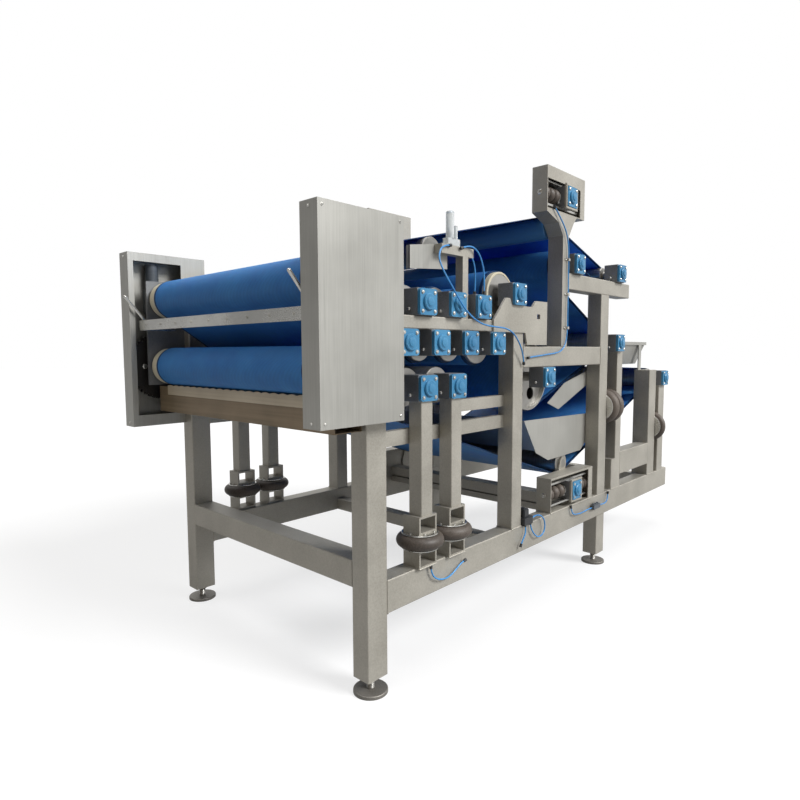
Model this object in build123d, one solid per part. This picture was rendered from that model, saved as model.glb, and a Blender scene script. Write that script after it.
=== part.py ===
from build123d import *
from math import asin, atan2, cos, hypot, pi, radians, sin
import os

# Belt filter press: two wide belts squeezed between rollers, on a stainless frame.
# Millimetres. X runs from the drive end (0 is the front face of the front columns),
# Y runs across from the centre plane (near side is -Y), Z is up from the floor.
# The saved pieces are shifted along X so that the origin lies under the middle.

# Frame, driving sizes
frame_half = 795.0        # centre plane to the outer face of a side frame
tube_depth = 100.0        # depth of every frame tube, measured across the machine
leg_width = 120.0
column_width = 100.0
foot_height = 73.0
foot_radius = 78.0
foot_stem_radius = 16.0
foot_disc_height = 16.0
rail_low = 347.0
rail_height = 153.0
end_beam_low = 477.0
end_beam_height = 122.0
front_column_top = 1920.0
middle_column_x = 1120.0
rear_leg_x = 2214.0
rail_end_x = 3560.0
middle_beam_low = 1410.0
middle_beam_height = 120.0
top_beam_low = 1885.0
top_beam_height = 100.0
top_beam_end = 2670.0
cross_tube_size = 80.0
edge_round = 6.0
fit = 0.3                 # running clearance at a seat or a bore

# Roller rail, guide rails and notched plate
roller_rail_low = 1605.0
roller_rail_height = 60.0
lower_guide_low = 1076.0
lower_guide_height = 70.0
upper_guide_low = 1195.0
upper_guide_height = 63.0
upper_guide_x = 640.0
plate_thick = 12.0
plate_left = 909.0
plate_right = 1458.0
plate_drop = 1538.0
horn_rise = 36.0         # horns of the notched plate above its seat

# Tower, tracking frames
tower_x = 1658.0
tower_width = 71.0
tower_straight_top = 2200.0
head_left = 1460.0
head_right = 1930.0
head_low = 2330.0
head_top = 2577.0
head_sheet = 6.0
head_fascia = 72.0
head_stile = 58.0
tracker_left = 1560.0
tracker_right = 2130.0
tracker_top = 717.0
tracking_block_x = 1715.0
tracking_block_z = 2431.0
lower_block_x = 1853.0
lower_block_z = 606.0

# Rollers: centre x, centre z, radius
drive_x = -110.0
drive_upper_z = 1796.0
drive_lower_z = 1425.0
drive_radius = 100.0
upper_row = [(366.0, 86.0), (590.0, 90.0), (803.0, 96.0)]
lower_row = [(242.0, 86.0), (465.0, 88.0), (695.0, 92.0), (936.0, 108.0)]
push_row = [372.0, 594.0]
push_radius = 92.0
block_size = 122.0        # bearing block, square seen from the side
drum_x, drum_z, drum_radius = 1142.0, 1812.0, 132.0
screen_x, screen_radius = 1480.0, 205.0
screen_wall = 8.0
hold_x, hold_radius = 1842.0, 100.0
end_x, end_radius = 2485.0, 55.0
nose_x, nose_z, nose_radius = 2490.0, 1558.0, 75.0
tail_x, tail_z, tail_radius = 3405.0, 1277.0, 75.0
tracking_x, tracking_z, tracking_radius = 1690.0, 2266.0, 70.0
take_x, take_z, take_radius = 1900.0, 756.0, 75.0
idler_x, idler_radius, idler_journal = 555.0, 71.0, 14.0
table_z, table_radius = 1330.0, 60.0
journal_radius = 28.0
face_clear = 15.0         # from an ordinary roller's face to the side frame
drive_face_clear = 24.0
drum_face_clear = 5.0
lagging_thick = 12.0

# Belts
belt_margin = 20.0        # bare roller beside each belt edge
belt_thick = 4.0
belt_gap = 0.3

# Bearings
housing_depth = 94.0
housing_proud = 14.0
unit_size = 118.0
unit_thick = 16.0
unit_boss_radius = 38.0
unit_boss = 12.0

# Covers at the drive end
cover_left = -305.0
cover_right = 150.0
cover_low = 1212.0
far_cover_low = 1087.0
cover_top = 2056.0
cover_out = 76.0
cover_in = 28.0
cover_sheet = 4.0
window_left = -275.0
window_low = 1150.0
window_top = 2010.0
side_plate_thick = 16.0
side_plate_out = 30.0

# Discharge end
scraper_x = -262.0
scraper_low = 1625.0
scraper_height = 55.0
scraper_thick = 10.0
scraper_arm_thick = 16.0
lever_radius = 8.0
lever_tip_x, lever_tip_z = -337.0, 1806.0
lever_foot_x = -226.0
scraper_arm_end = -60.0
tray_x = -150.0
tray_low = 1170.0
tray_front_top = 1312.0
tray_back_top = 1255.0
tray_sheet = 4.0
gear_radius = 190.0
gear_teeth = 48

# Push posts and air springs
post_width = 80.0
post_out = 15.0
post_low = 743.0
spring_low = 582.0
spring_top = 659.0
spring_radius = 114.0
bracket_wall = 10.0
bracket_width = 124.0

# Feed end
lever_a_x = 2500.0
lever_a_width = 89.0
lever_a_low = 725.0
base_a_x = 2440.0
base_a_top = 720.0
post_b_x = 3130.0
post_b_width = 142.0
post_b_depth = 127.0
post_b_top = 1347.0
lever_c_x = 3345.0
lever_c_width = 120.0
lever_c_low = 560.0
feed_beam_low = 590.0
feed_beam_height = 170.0
tension_spring_radius = 122.0
spring_a_z = 1107.0
spring_c_z = 880.0

# Small sizes
foot_nut = 14.0
foot_nut_radius = 28.0
blind_bore = 30.0
slide_setback = 20.0
slide_depth = 40.0
slide_height = 12.0
arm_half = 42.0
arm_thick = 12.0
side_plate_half = 105.0
unit_round = 14.0
gear_out = 12.0
gear_width = 22.0
gear_hub = 8.0
gear_hub_radius = 55.0
tooth_depth = 9.0
motor_in = 10.0
gearbox_half = 75.0
motor_height = 130.0
motor_radius = 35.0
motor_fins = 6
drive_reach = frame_half + 40.0
screen_recess = 30.0
screen_disc = 10.0
screen_windows = 6
idler_seat_in = 58.0
idler_bar = 44.0
idler_post_x = 674.0
spring_plate_thick = 6.0
tracking_spring_radius = 42.0
take_bar_x = 1690.0
take_bar_width = 100.0
take_bar_low = 518.0
take_bar_height = 66.0
juice_left = 1402.0
juice_top = 1084.0
juice_floor = 880.0
juice_floor_left = 1560.0
juice_fold = 3.0
juice_lip = 36.0
juice_fall = 20.0
juice_toe_right, juice_toe_right_low = 2145.0, 814.0
juice_toe_left, juice_toe_left_low = 1700.0, 805.0
juice_heel, juice_heel_drop = 1548.0, 10.0
slot_shift = 142.0
slot_width = 33.0
slot_low, slot_high = 65.0, 38.0
hopper_left = 2880.0
hopper_right = 3330.0
hopper_low = 1395.0
hopper_top = 1573.0
hopper_taper = 60.0
service_shift = 45.0
cup_height = 130.0
cup_radius = 20.0

length_left = lever_tip_x - lever_radius
length_right = rail_end_x
middle_x = (length_left + length_right) / 2

plate_seat = drum_z - block_size / 2
screen_z = middle_beam_low - block_size / 2
table_x = rear_leg_x + leg_width / 2
upper_z = roller_rail_low + roller_rail_height + block_size / 2
lower_z = roller_rail_low - block_size / 2
post_top = 1275.0
push_z = post_top + block_size / 2
top_bearing_z = top_beam_low + top_beam_height + block_size / 2
rail_top = rail_low + rail_height
inner_face = frame_half - tube_depth
face_half = inner_face - face_clear
drum_face_half = inner_face - drum_face_clear
drive_face_half = frame_half - side_plate_out - side_plate_thick - drive_face_clear
belt_half = face_half - belt_margin
idler_seat = frame_half - idler_seat_in
bearing_reach = frame_half + housing_proud


def block(x0, x1, y0, y1, z0, z1):
    """A plain box between two corners."""
    size = Box(x1 - x0, y1 - y0, z1 - z0)
    return Pos((x0 + x1) / 2, (y0 + y1) / 2, (z0 + z1) / 2) * size


def tube(x0, x1, y0, y1, z0, z1, along):
    """A box with its four long edges rounded, as a rolled tube has."""
    body = block(x0, x1, y0, y1, z0, z1)
    return fillet(body.edges().filter_by(along), edge_round)


def far(shape):
    """The same piece on the other side frame."""
    return mirror(shape, about=Plane.XZ)


def both(shapes):
    """Near pieces followed by their mirror images."""
    return list(shapes) + [far(shape) for shape in shapes]


def rod_y(x, z, radius, y0, y1):
    """A round bar running across the machine."""
    length = y1 - y0
    return Pos(x, (y0 + y1) / 2, z) * Rot(90, 0, 0) * Cylinder(radius, length)


def rod_x(x0, x1, y, z, radius):
    """A round bar running along the machine."""
    return Pos((x0 + x1) / 2, y, z) * Rot(0, 90, 0) * Cylinder(radius, x1 - x0)


def rod_z(x, y, z0, z1, radius):
    """An upright round bar."""
    return Pos(x, y, (z0 + z1) / 2) * Cylinder(radius, z1 - z0)


def upright(points, y0, y1):
    """A plate whose outline is drawn in X and Z, between two values of Y."""
    outline = Polyline([(x, y0, z) for x, z in points], close=True)
    return extrude(make_face(outline), amount=y1 - y0, dir=(0, 1, 0))


def save(name, pieces):
    """Write one named node, shifted so that the origin is under the middle."""
    moved = [Pos(-middle_x, 0, 0) * piece for piece in pieces]
    solids = []
    for piece in moved:
        solids.extend(piece.solids())
    whole = solids[0] if len(solids) == 1 else Compound(children=solids)
    export_step(whole, os.path.join("parts", name + ".step"))


# Belt route

def tangent(first, second):
    """Where a straight run leaves one stop and meets the next."""
    x1, z1, r1, turn1 = first
    x2, z2, r2, turn2 = second
    apart = hypot(x2 - x1, z2 - z1)
    heading = atan2(z2 - z1, x2 - x1) - asin((turn2 * r2 - turn1 * r1) / apart)
    nx, nz = -sin(heading), cos(heading)
    leave = (x1 - turn1 * r1 * nx, z1 - turn1 * r1 * nz)
    meet = (x2 - turn2 * r2 * nx, z2 - turn2 * r2 * nz)
    return leave, meet


def loop_wire(stops, shift):
    """The closed line of a belt face: straight runs and arcs round the rollers."""
    sized = [(x, z, r - shift * turn, turn) for x, z, r, turn in stops]
    count = len(sized)
    runs = [tangent(sized[i], sized[(i + 1) % count]) for i in range(count)]
    edges = []
    for i in range(count):
        x, z, r, turn = sized[i]
        start = runs[i - 1][1]
        stop = runs[i][0]
        a0 = atan2(start[1] - z, start[0] - x)
        a1 = atan2(stop[1] - z, stop[0] - x)
        sweep = (turn * (a1 - a0)) % (2 * pi)
        middle = a0 + turn * sweep / 2
        top = (x + r * cos(middle), -belt_half, z + r * sin(middle))
        p0 = (start[0], -belt_half, start[1])
        p1 = (stop[0], -belt_half, stop[1])
        edges.append(Edge.make_three_point_arc(p0, top, p1))
        nxt = runs[i][1]
        edges.append(Edge.make_line(p1, (nxt[0], -belt_half, nxt[1])))
    return Wire(edges)


def belt(stops):
    """A belt of one thickness that follows its route."""
    one = Face(loop_wire(stops, belt_thick / 2))
    two = Face(loop_wire(stops, -belt_thick / 2))
    outer, inner = (one, two) if one.area > two.area else (two, one)
    ring = Face(outer.outer_wire(), [inner.outer_wire()])
    return extrude(ring, amount=2 * belt_half, dir=(0, 1, 0))


def stop_at(x, z, radius, turn, layer=0):
    """A roller as the belt sees it: its line radius and the way it turns."""
    line = radius + belt_gap + belt_thick / 2 + layer * (belt_thick + belt_gap)
    return (x, z, line, turn)


def press_stops(upper):
    """The zigzag that both belts share, from the screen drum to the last roller."""
    over_layer = 1 if upper else 0
    under_layer = 0 if upper else 1
    stops = [stop_at(screen_x, screen_z, screen_radius, -1, under_layer)]
    stops.append(stop_at(drum_x, drum_z, drum_radius, 1, over_layer))
    for low, high in zip(reversed(lower_row), list(reversed(upper_row)) + [None]):
        stops.append(stop_at(low[0], lower_z, low[1], -1, under_layer))
        if high:
            stops.append(stop_at(high[0], upper_z, high[1], 1, over_layer))
    return stops


def upper_belt_stops():
    stops = [stop_at(drive_x, drive_upper_z, drive_radius, -1)]
    stops.append(stop_at(tracking_x, tracking_z, tracking_radius, -1))
    stops.append(stop_at(end_x, top_bearing_z, end_radius, -1))
    stops.append(stop_at(hold_x, top_bearing_z, hold_radius, 1))
    stops.append(stop_at(nose_x, nose_z, nose_radius, -1))
    return stops + press_stops(True)


def lower_belt_stops():
    stops = [stop_at(drive_x, drive_lower_z, drive_radius, 1)]
    stops.append(stop_at(take_x, take_z, take_radius, 1))
    stops.append(stop_at(tail_x, tail_z, tail_radius, 1))
    stops.append(stop_at(table_x, table_z, table_radius, 1))
    return stops + press_stops(False)


def idler_z():
    """Height at which the support roller just meets the upper belt from below."""
    stops = upper_belt_stops()
    leave, meet = tangent(stops[0], stops[1])
    slope = (meet[1] - leave[1]) / (meet[0] - leave[0])
    line = leave[1] + slope * (idler_x - leave[0])
    return line - (idler_radius + belt_gap + belt_thick / 2) * hypot(1, slope)


# Frame pieces

def front_columns():
    column = tube(0, leg_width, -frame_half, -inner_face, foot_height, front_column_top, Axis.Z)
    return both([column])


def base_rails():
    rail = tube(leg_width, rail_end_x, -frame_half, -inner_face, rail_low, rail_top, Axis.X)
    return both([rail])


def foot(x):
    y = -frame_half + tube_depth / 2
    disc = rod_z(x, y, 0, foot_disc_height, foot_radius)
    disc = fillet(disc.edges().filter_by(GeomType.CIRCLE).sort_by(Axis.Z)[-1], foot_disc_height / 3)
    stem = rod_z(x, y, foot_disc_height, foot_height, foot_stem_radius)
    nut = Pos(x, y, foot_height - foot_nut) * extrude(RegularPolygon(foot_nut_radius, 6), amount=foot_nut)
    return disc + stem + nut


def levelling_feet():
    return both([foot(leg_width / 2), foot(rear_leg_x + leg_width / 2)])


def cross_members():
    end_beam = tube(0, leg_width, -inner_face, inner_face, end_beam_low,
                    end_beam_low + end_beam_height, Axis.Y)
    places = [middle_column_x, rear_leg_x, rail_end_x - cross_tube_size]
    ties = [tube(x, x + cross_tube_size, -inner_face, inner_face, rail_low,
                 rail_low + cross_tube_size, Axis.Y) for x in places]
    return [end_beam] + ties


def middle_columns():
    column = tube(middle_column_x, middle_column_x + column_width, -frame_half, -inner_face,
                  rail_top, plate_seat, Axis.Z)
    return both([column])


def rear_columns():
    """Legs under the base rails and the columns that stand on them."""
    leg = tube(rear_leg_x, rear_leg_x + leg_width, -frame_half, -inner_face,
               foot_height, rail_low, Axis.Z)
    column = tube(rear_leg_x, rear_leg_x + leg_width, -frame_half, -inner_face,
                  rail_top, top_beam_low, Axis.Z)
    column -= rod_y(table_x, table_z, journal_radius + fit, -inner_face - blind_bore, -inner_face + 1)
    return both([leg, column])


def middle_beams():
    beam = tube(middle_column_x + column_width, rear_leg_x, -frame_half, -inner_face,
                middle_beam_low, middle_beam_low + middle_beam_height, Axis.X)
    return both([beam])


def top_beams():
    beam = tube(tower_x + tower_width, top_beam_end, -frame_half, -inner_face,
                top_beam_low, top_beam_low + top_beam_height, Axis.X)
    return both([beam])


def towers():
    """Upright plates of the tracking tower, flared under the head."""
    low = middle_beam_low + middle_beam_height
    right = tower_x + tower_width
    outline = [(tower_x, low), (right, low), (right, tower_straight_top),
               (right + 60, head_low - 40), (right + 100, head_low),
               (head_left, head_low), (head_left, head_low - 14),
               (tower_x - 60, head_low - 60), (tower_x, tower_straight_top)]
    return both([upright(outline, -frame_half, -inner_face)])


def open_box(left, right, low, top, stile, fascia):
    """Sheet box open on its outer side, with a frame round the opening."""
    y0, y1 = -frame_half, -inner_face
    shell = block(left, right, y0, y1, low, top)
    shell -= block(left + head_sheet, right - head_sheet, y0 + head_sheet, y1 - head_sheet,
                   low + head_sheet, top - head_sheet)
    shell -= block(left + head_sheet, right - stile, y0 - 1, y0 + head_sheet + 1,
                   low + head_sheet, top - fascia)
    return shell


def tracking_heads():
    """Boxes that hold the belt tracking gear, on the towers and on the rails."""
    head = open_box(head_left, head_right, head_low, head_top, head_stile, head_fascia)
    head -= rod_y(tracking_block_x, tracking_block_z, journal_radius + fit,
                  -inner_face - head_sheet - 1, -inner_face + 1)
    return both([head])


def tracking_frames():
    frame = open_box(tracker_left, tracker_right, rail_top, tracker_top, head_stile, head_sheet * 2)
    frame -= rod_y(lower_block_x, lower_block_z, journal_radius + fit,
                   -inner_face - head_sheet - 1, -inner_face + 1)
    return both([frame])


def slide_pair(left, right, z):
    """Two flat bars that guide a tracking block between them."""
    y0, y1 = -frame_half + slide_setback, -frame_half + slide_setback + slide_depth
    half = block_size / 2 + fit
    bars = []
    for low, high in ((z - half - slide_height, z - half), (z + half, z + half + slide_height)):
        bars.append(block(left + head_sheet, right - head_sheet, y0, y1, low, high))
    return bars


def tracking_slides():
    upper = slide_pair(head_left, head_right, tracking_block_z)
    lower = slide_pair(tracker_left, tracker_right, lower_block_z)
    return both(upper + lower)


def link(x0, z0, x1, z1):
    """Round-ended arm between two bores, just inside the side frame."""
    y1 = -inner_face + fit + arm_thick
    y0 = -inner_face + fit
    length = hypot(x1 - x0, z1 - z0)
    nx, nz = (z1 - z0) / length * arm_half, (x0 - x1) / length * arm_half
    web = upright([(x0 + nx, z0 + nz), (x1 + nx, z1 + nz), (x1 - nx, z1 - nz), (x0 - nx, z0 - nz)],
                  y0, y1)
    web += rod_y(x0, z0, arm_half, y0, y1) + rod_y(x1, z1, arm_half, y0, y1)
    web -= rod_y(x1, z1, journal_radius + fit, y0 - 1, y1 + 1)
    shaft = rod_y(x0, z0, journal_radius, -bearing_reach + fit, y1)
    return web + shaft


def tracking_arms():
    upper = link(tracking_block_x, tracking_block_z, tracking_x, tracking_z)
    lower = link(lower_block_x, lower_block_z, take_x, take_z)
    return both([upper, lower])


def side_rails():
    """Rail that carries the press rollers, and the guides behind the push posts."""
    rail = tube(leg_width, middle_column_x, -frame_half, -inner_face, roller_rail_low,
                roller_rail_low + roller_rail_height, Axis.X)
    y0, y1 = -frame_half - post_out + post_width + fit, -inner_face
    low = block(leg_width, middle_column_x, y0, y1, lower_guide_low,
                lower_guide_low + lower_guide_height)
    high = block(upper_guide_x, middle_column_x, y0, y1, upper_guide_low,
                 upper_guide_low + upper_guide_height)
    return both([rail, low, high])


def notched_plates():
    """Side plates with two horns that cradle the bearing of the big drum."""
    seat_left = drum_x - block_size / 2
    seat_right = drum_x + block_size / 2
    horn = plate_seat + horn_rise
    column_right = middle_column_x + column_width
    outline = [(plate_left, roller_rail_low), (plate_left, roller_rail_low + roller_rail_height),
               (seat_left - 60, horn), (seat_left - 20, horn), (seat_left, plate_seat),
               (seat_right + 90, plate_seat), (seat_right + 125, horn), (plate_right, horn),
               (plate_right, plate_drop), (column_right + 20, plate_drop),
               (column_right, roller_rail_low)]
    y0 = -frame_half - plate_thick
    plate = upright(outline, y0, -frame_half)
    slot_x = seat_right + slot_shift
    plate -= block(slot_x, slot_x + slot_width, y0 - 1, -frame_half + 1,
                   plate_seat - slot_low, plate_seat - slot_high)
    return both([plate])


# Drive end

def cover(low):
    """Sheet-metal box over one end of the drive rollers, notched round the column."""
    y0, y1 = -frame_half - cover_out, -frame_half + cover_in
    shell = block(cover_left, cover_right, y0, y1, low, cover_top)
    shell -= block(cover_left + cover_sheet, cover_right - cover_sheet, y0 + cover_sheet,
                   y1 - cover_sheet, low + cover_sheet, cover_top - cover_sheet)
    shell -= block(window_left, -fit, y1 - 2 * cover_sheet, y1 + 1, window_low, window_top)
    shell -= block(-fit, leg_width + fit, -frame_half - fit, y1 + 1, low - 1,
                   front_column_top + fit)
    shell -= block(leg_width - 1, cover_right + 1, -frame_half - fit, y1 + 1,
                   roller_rail_low - block_size - fit,
                   roller_rail_low + roller_rail_height + fit)
    return shell


def drive_side_plates():
    y0 = -frame_half + side_plate_out
    plate = block(drive_x - side_plate_half, 0, y0, y0 + side_plate_thick,
                  drive_lower_z - side_plate_half, drive_upper_z + side_plate_half)
    for z in (drive_lower_z, drive_upper_z):
        plate -= rod_y(drive_x, z, journal_radius + fit, y0 - 1, y0 + side_plate_thick + 1)
    return both([plate])


def drive_gear():
    """Toothed wheel on the far end of the lower drive roller."""
    y0 = frame_half + gear_out
    outline = []
    for tooth in range(gear_teeth):
        step = 2 * pi / gear_teeth
        for part, r in ((0.0, gear_radius - tooth_depth), (0.28, gear_radius - tooth_depth),
                        (0.42, gear_radius), (0.86, gear_radius)):
            a = (tooth + part) * step
            outline.append((drive_x + r * cos(a), drive_lower_z + r * sin(a)))
    wheel = upright(outline, y0, y0 + gear_width)
    wheel += rod_y(drive_x, drive_lower_z, gear_hub_radius, y0 - gear_hub, y0 + gear_width + gear_hub)
    wheel -= rod_y(drive_x, drive_lower_z, journal_radius + fit, y0 - gear_hub - 1, y0 + 2 * gear_width)
    return [wheel]


def gear_motor():
    """Shaft-mounted gearbox with an upright motor, on the upper drive roller."""
    y0, y1 = frame_half - motor_in, frame_half + cover_out - cover_sheet - fit
    box = block(drive_x - gearbox_half, drive_x + gearbox_half, y0, y1,
                drive_upper_z - gearbox_half, drive_upper_z + gearbox_half)
    box = fillet(box.edges().filter_by(Axis.Y), 22)
    middle = (y0 + y1) / 2
    motor_x = drive_x - gearbox_half / 2
    low = drive_upper_z + gearbox_half
    box += rod_z(motor_x, middle, low - 1, low + motor_height, motor_radius)
    for level in range(motor_fins):
        z = low + 20 + level * (motor_height - 40) / motor_fins
        box += rod_z(motor_x, middle, z, z + 5, motor_radius + 2.5)
    return [box - rod_y(drive_x, drive_upper_z, journal_radius + fit, y0 - 1, drive_reach + fit)]


def roller(x, z, radius, half, near, distant, journal=journal_radius):
    """Roller with a bevelled edge at each end and a journal out to each side."""
    body = rod_y(x, z, radius, -half, half)
    body = chamfer(body.edges().filter_by(GeomType.CIRCLE), 3)
    return body + rod_y(x, z, journal, -near, distant)


def drive_rollers():
    near = frame_half - side_plate_out + unit_thick
    core = drive_radius - lagging_thick - fit
    return [roller(drive_x, z, core, drive_face_half, near, drive_reach)
            for z in (drive_upper_z, drive_lower_z)]


def sleeve(x, z, radius, half):
    body = rod_y(x, z, radius, -half, half)
    body = chamfer(body.edges().filter_by(GeomType.CIRCLE), 3)
    return body - rod_y(x, z, radius - lagging_thick, -half - 1, half + 1)


def rubber_lagging():
    return [sleeve(drive_x, drive_upper_z, drive_radius, drive_face_half),
            sleeve(drive_x, drive_lower_z, drive_radius, drive_face_half),
            sleeve(drum_x, drum_z, drum_radius, drum_face_half)]


def supported(x, z, radius, half=None):
    """A roller whose journals end in the bearing units of both side frames."""
    reach = bearing_reach - fit
    return roller(x, z, radius, half or face_half, reach, reach)


def upper_press_rollers():
    return [supported(x, upper_z, r) for x, r in upper_row]


def lower_press_rollers():
    return [supported(x, lower_z, r) for x, r in lower_row]


def push_rollers():
    return [supported(x, push_z, push_radius) for x in push_row]


def pressure_drum():
    return [supported(drum_x, drum_z, drum_radius - lagging_thick - fit, drum_face_half)]


def screen_drum():
    """Open drum: a shell on two end discs with a shaft through them."""
    shell = rod_y(screen_x, screen_z, screen_radius, -face_half, face_half)
    shell -= rod_y(screen_x, screen_z, screen_radius - screen_wall, -face_half - 1, face_half + 1)
    for y in (-face_half + screen_recess, face_half - screen_recess - screen_disc):
        disc = rod_y(screen_x, screen_z, screen_radius - screen_wall + 1, y, y + screen_disc)
        for turn in range(screen_windows):
            a = 2 * pi * turn / screen_windows
            r = screen_radius * 0.6
            disc -= rod_y(screen_x + r * cos(a), screen_z + r * sin(a), screen_radius * 0.19,
                          y - 1, y + screen_disc + 1)
        shell += disc
    reach = bearing_reach - fit
    return [shell + rod_y(screen_x, screen_z, journal_radius, -reach, reach)]


def guide_rollers():
    """Rollers that only turn or support a belt."""
    arm = inner_face - fit - arm_thick
    blind = inner_face + blind_bore - fit
    idler_reach = idler_seat + blind_bore - fit
    return [supported(hold_x, top_bearing_z, hold_radius),
            supported(end_x, top_bearing_z, end_radius),
            supported(nose_x, nose_z, nose_radius),
            supported(tail_x, tail_z, tail_radius),
            roller(table_x, table_z, table_radius, face_half, blind, blind),
            roller(idler_x, idler_z(), idler_radius, face_half, idler_reach, idler_reach,
                   idler_journal),
            roller(tracking_x, tracking_z, tracking_radius, face_half, arm + arm_thick, arm + arm_thick),
            roller(take_x, take_z, take_radius, face_half, arm + arm_thick, arm + arm_thick)]


def idler_brackets():
    """Post and arm that carry the upper belt's support roller."""
    y1 = -idler_seat
    y0 = y1 - idler_bar
    z = idler_z()
    post = block(idler_post_x, idler_post_x + idler_bar, y0, y1,
                 roller_rail_low + roller_rail_height, z)
    arm = block(idler_x - idler_bar, idler_post_x + 2 * idler_bar, y0, y1,
                z - idler_bar / 2, z + idler_bar / 2)
    bore = rod_y(idler_x, z, idler_journal + fit, y1 - blind_bore, y1 + 1)
    return both([post + arm - bore])


# Bearings

def bearing_places():
    places = [(x, upper_z) for x, r in upper_row]
    places += [(x, lower_z) for x, r in lower_row]
    places += [(x, push_z) for x in push_row]
    places += [(drum_x, drum_z), (screen_x, screen_z)]
    places += [(hold_x, top_bearing_z), (end_x, top_bearing_z)]
    places += [(nose_x, nose_z), (tail_x, tail_z)]
    return places


def tracking_places():
    return [(tracking_block_x, tracking_block_z), (lower_block_x, lower_block_z)]


def housing(x, z):
    half = block_size / 2
    y0 = -frame_half - housing_proud
    body = block(x - half, x + half, y0, y0 + housing_depth, z - half, z + half)
    body = fillet(body.edges().filter_by(Axis.Y), 3)
    return body - rod_y(x, z, journal_radius + fit, y0 - 1, y0 + housing_depth + 1)


def bearing_housings():
    return both([housing(x, z) for x, z in bearing_places() + tracking_places()])


def unit(x, z):
    """Square flange bearing unit with a round boss and a dust cap."""
    half = unit_size / 2
    y1 = -bearing_reach
    y0 = y1 - unit_thick
    plate = block(x - half, x + half, y0, y1, z - half, z + half)
    plate = fillet(plate.edges().filter_by(Axis.Y), unit_round)
    boss = rod_y(x, z, unit_boss_radius, y0 - unit_boss, y0)
    boss = chamfer(boss.edges().filter_by(GeomType.CIRCLE).sort_by(Axis.Y)[0], 4)
    return plate + boss


def drive_unit(z):
    """Flange bearing on a drive side plate, bored right through."""
    y1 = -frame_half + side_plate_out
    half = unit_size / 2
    body = block(drive_x - half, drive_x + half, y1 - unit_thick, y1, z - half, z + half)
    body = fillet(body.edges().filter_by(Axis.Y), unit_round)
    return body - rod_y(drive_x, z, journal_radius + fit, y1 - unit_thick - 1, y1 + 1)


def bearing_units():
    placed = [unit(x, z) for x, z in bearing_places() + tracking_places()]
    return both(placed + [drive_unit(drive_lower_z), drive_unit(drive_upper_z)])


# Air springs and posts

def push_posts():
    y0 = -frame_half - post_out
    posts = []
    for x in push_row:
        post = tube(x - post_width / 2, x + post_width / 2, y0, y0 + post_width,
                    post_low, post_top, Axis.Z)
        posts.append(post)
    return both(posts)


def bracket(x, z0, z1):
    """Short piece of square tube, open from side to side."""
    y0 = -frame_half - post_out - 5
    half = bracket_width / 2
    body = block(x - half, x + half, y0, y0 + tube_depth, z0, z1)
    inner = block(x - half + bracket_wall, x + half - bracket_wall, y0 - 1, y0 + tube_depth + 1,
                  z0 + bracket_wall, z1 - bracket_wall)
    return body - inner


def push_brackets():
    pieces = []
    for x in push_row:
        pieces.append(bracket(x, rail_top, spring_low))
        pieces.append(bracket(x, spring_top, post_low))
    return both(pieces)


def bellows(height, radius, rolls):
    """Rubber air spring with bulging rolls, standing on its lower face."""
    roll = height / rolls / 2 * 0.96
    neck = radius - roll
    body = Cylinder(neck, height)
    for index in range(rolls):
        body += Pos(0, 0, (index + 0.5) * height / rolls - height / 2) * Torus(neck, roll)
    return body


def spring_plate(radius, thick):
    plate = Cylinder(radius, thick)
    return chamfer(plate.edges().filter_by(GeomType.CIRCLE), thick / 4)


def push_stack(x):
    """Rubber and the two end plates of the spring under a push post."""
    y = -frame_half - post_out - 5 + tube_depth / 2
    z = (spring_low + spring_top) / 2
    height = spring_top - spring_low - 2 * spring_plate_thick
    offset = height / 2 + spring_plate_thick / 2
    plates = [Pos(x, y, z + side * offset) * spring_plate(spring_radius * 0.78, spring_plate_thick)
              for side in (-1, 1)]
    return Pos(x, y, z) * bellows(height, spring_radius, 1), plates


def lying_stack(x0, x1, z, radius, rolls):
    """Rubber and end plates of a spring that pushes along the machine."""
    y = -frame_half + tube_depth / 2
    middle = (x0 + x1) / 2
    height = x1 - x0 - 2 * spring_plate_thick
    offset = height / 2 + spring_plate_thick / 2
    turned = Rot(0, 90, 0)
    plates = [Pos(middle + side * offset, y, z) * turned * spring_plate(radius * 0.78, spring_plate_thick)
              for side in (-1, 1)]
    return Pos(middle, y, z) * turned * bellows(height, radius, rolls), plates


def push_springs():
    return [push_stack(x) for x in push_row]


def tension_springs():
    return [lying_stack(rear_leg_x + leg_width, lever_a_x, spring_a_z, tension_spring_radius, 2),
            lying_stack(post_b_x + post_b_width, lever_c_x, spring_c_z, tension_spring_radius, 1)]


def tracking_springs():
    half = block_size / 2
    stacks = []
    for left, right, x, z in ((head_left + head_sheet, head_right - head_sheet,
                               tracking_block_x, tracking_block_z),
                              (tracker_left + head_sheet, tracker_right - head_sheet,
                               lower_block_x, lower_block_z)):
        stacks.append(lying_stack(left, x - half, z, tracking_spring_radius, 3))
        stacks.append(lying_stack(x + half, right, z, tracking_spring_radius, 3))
    return stacks


def rubber_of(stacks):
    return both([rubber for rubber, plates in stacks])


def plates_of(stacks):
    return both([plate for rubber, plates in stacks for plate in plates])


# Feed end

def feed_frame():
    y0, y1 = -frame_half, -inner_face
    base = tube(base_a_x, lever_a_x + lever_a_width, y0, y1, rail_top, base_a_top, Axis.Z)
    beam = tube(lever_a_x + lever_a_width, post_b_x, y0, y1, feed_beam_low,
                feed_beam_low + feed_beam_height, Axis.X)
    post = tube(post_b_x, post_b_x + post_b_width, y0, y0 + post_b_depth, rail_top,
                post_b_top, Axis.Z)
    return both([base, beam, post])


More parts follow.
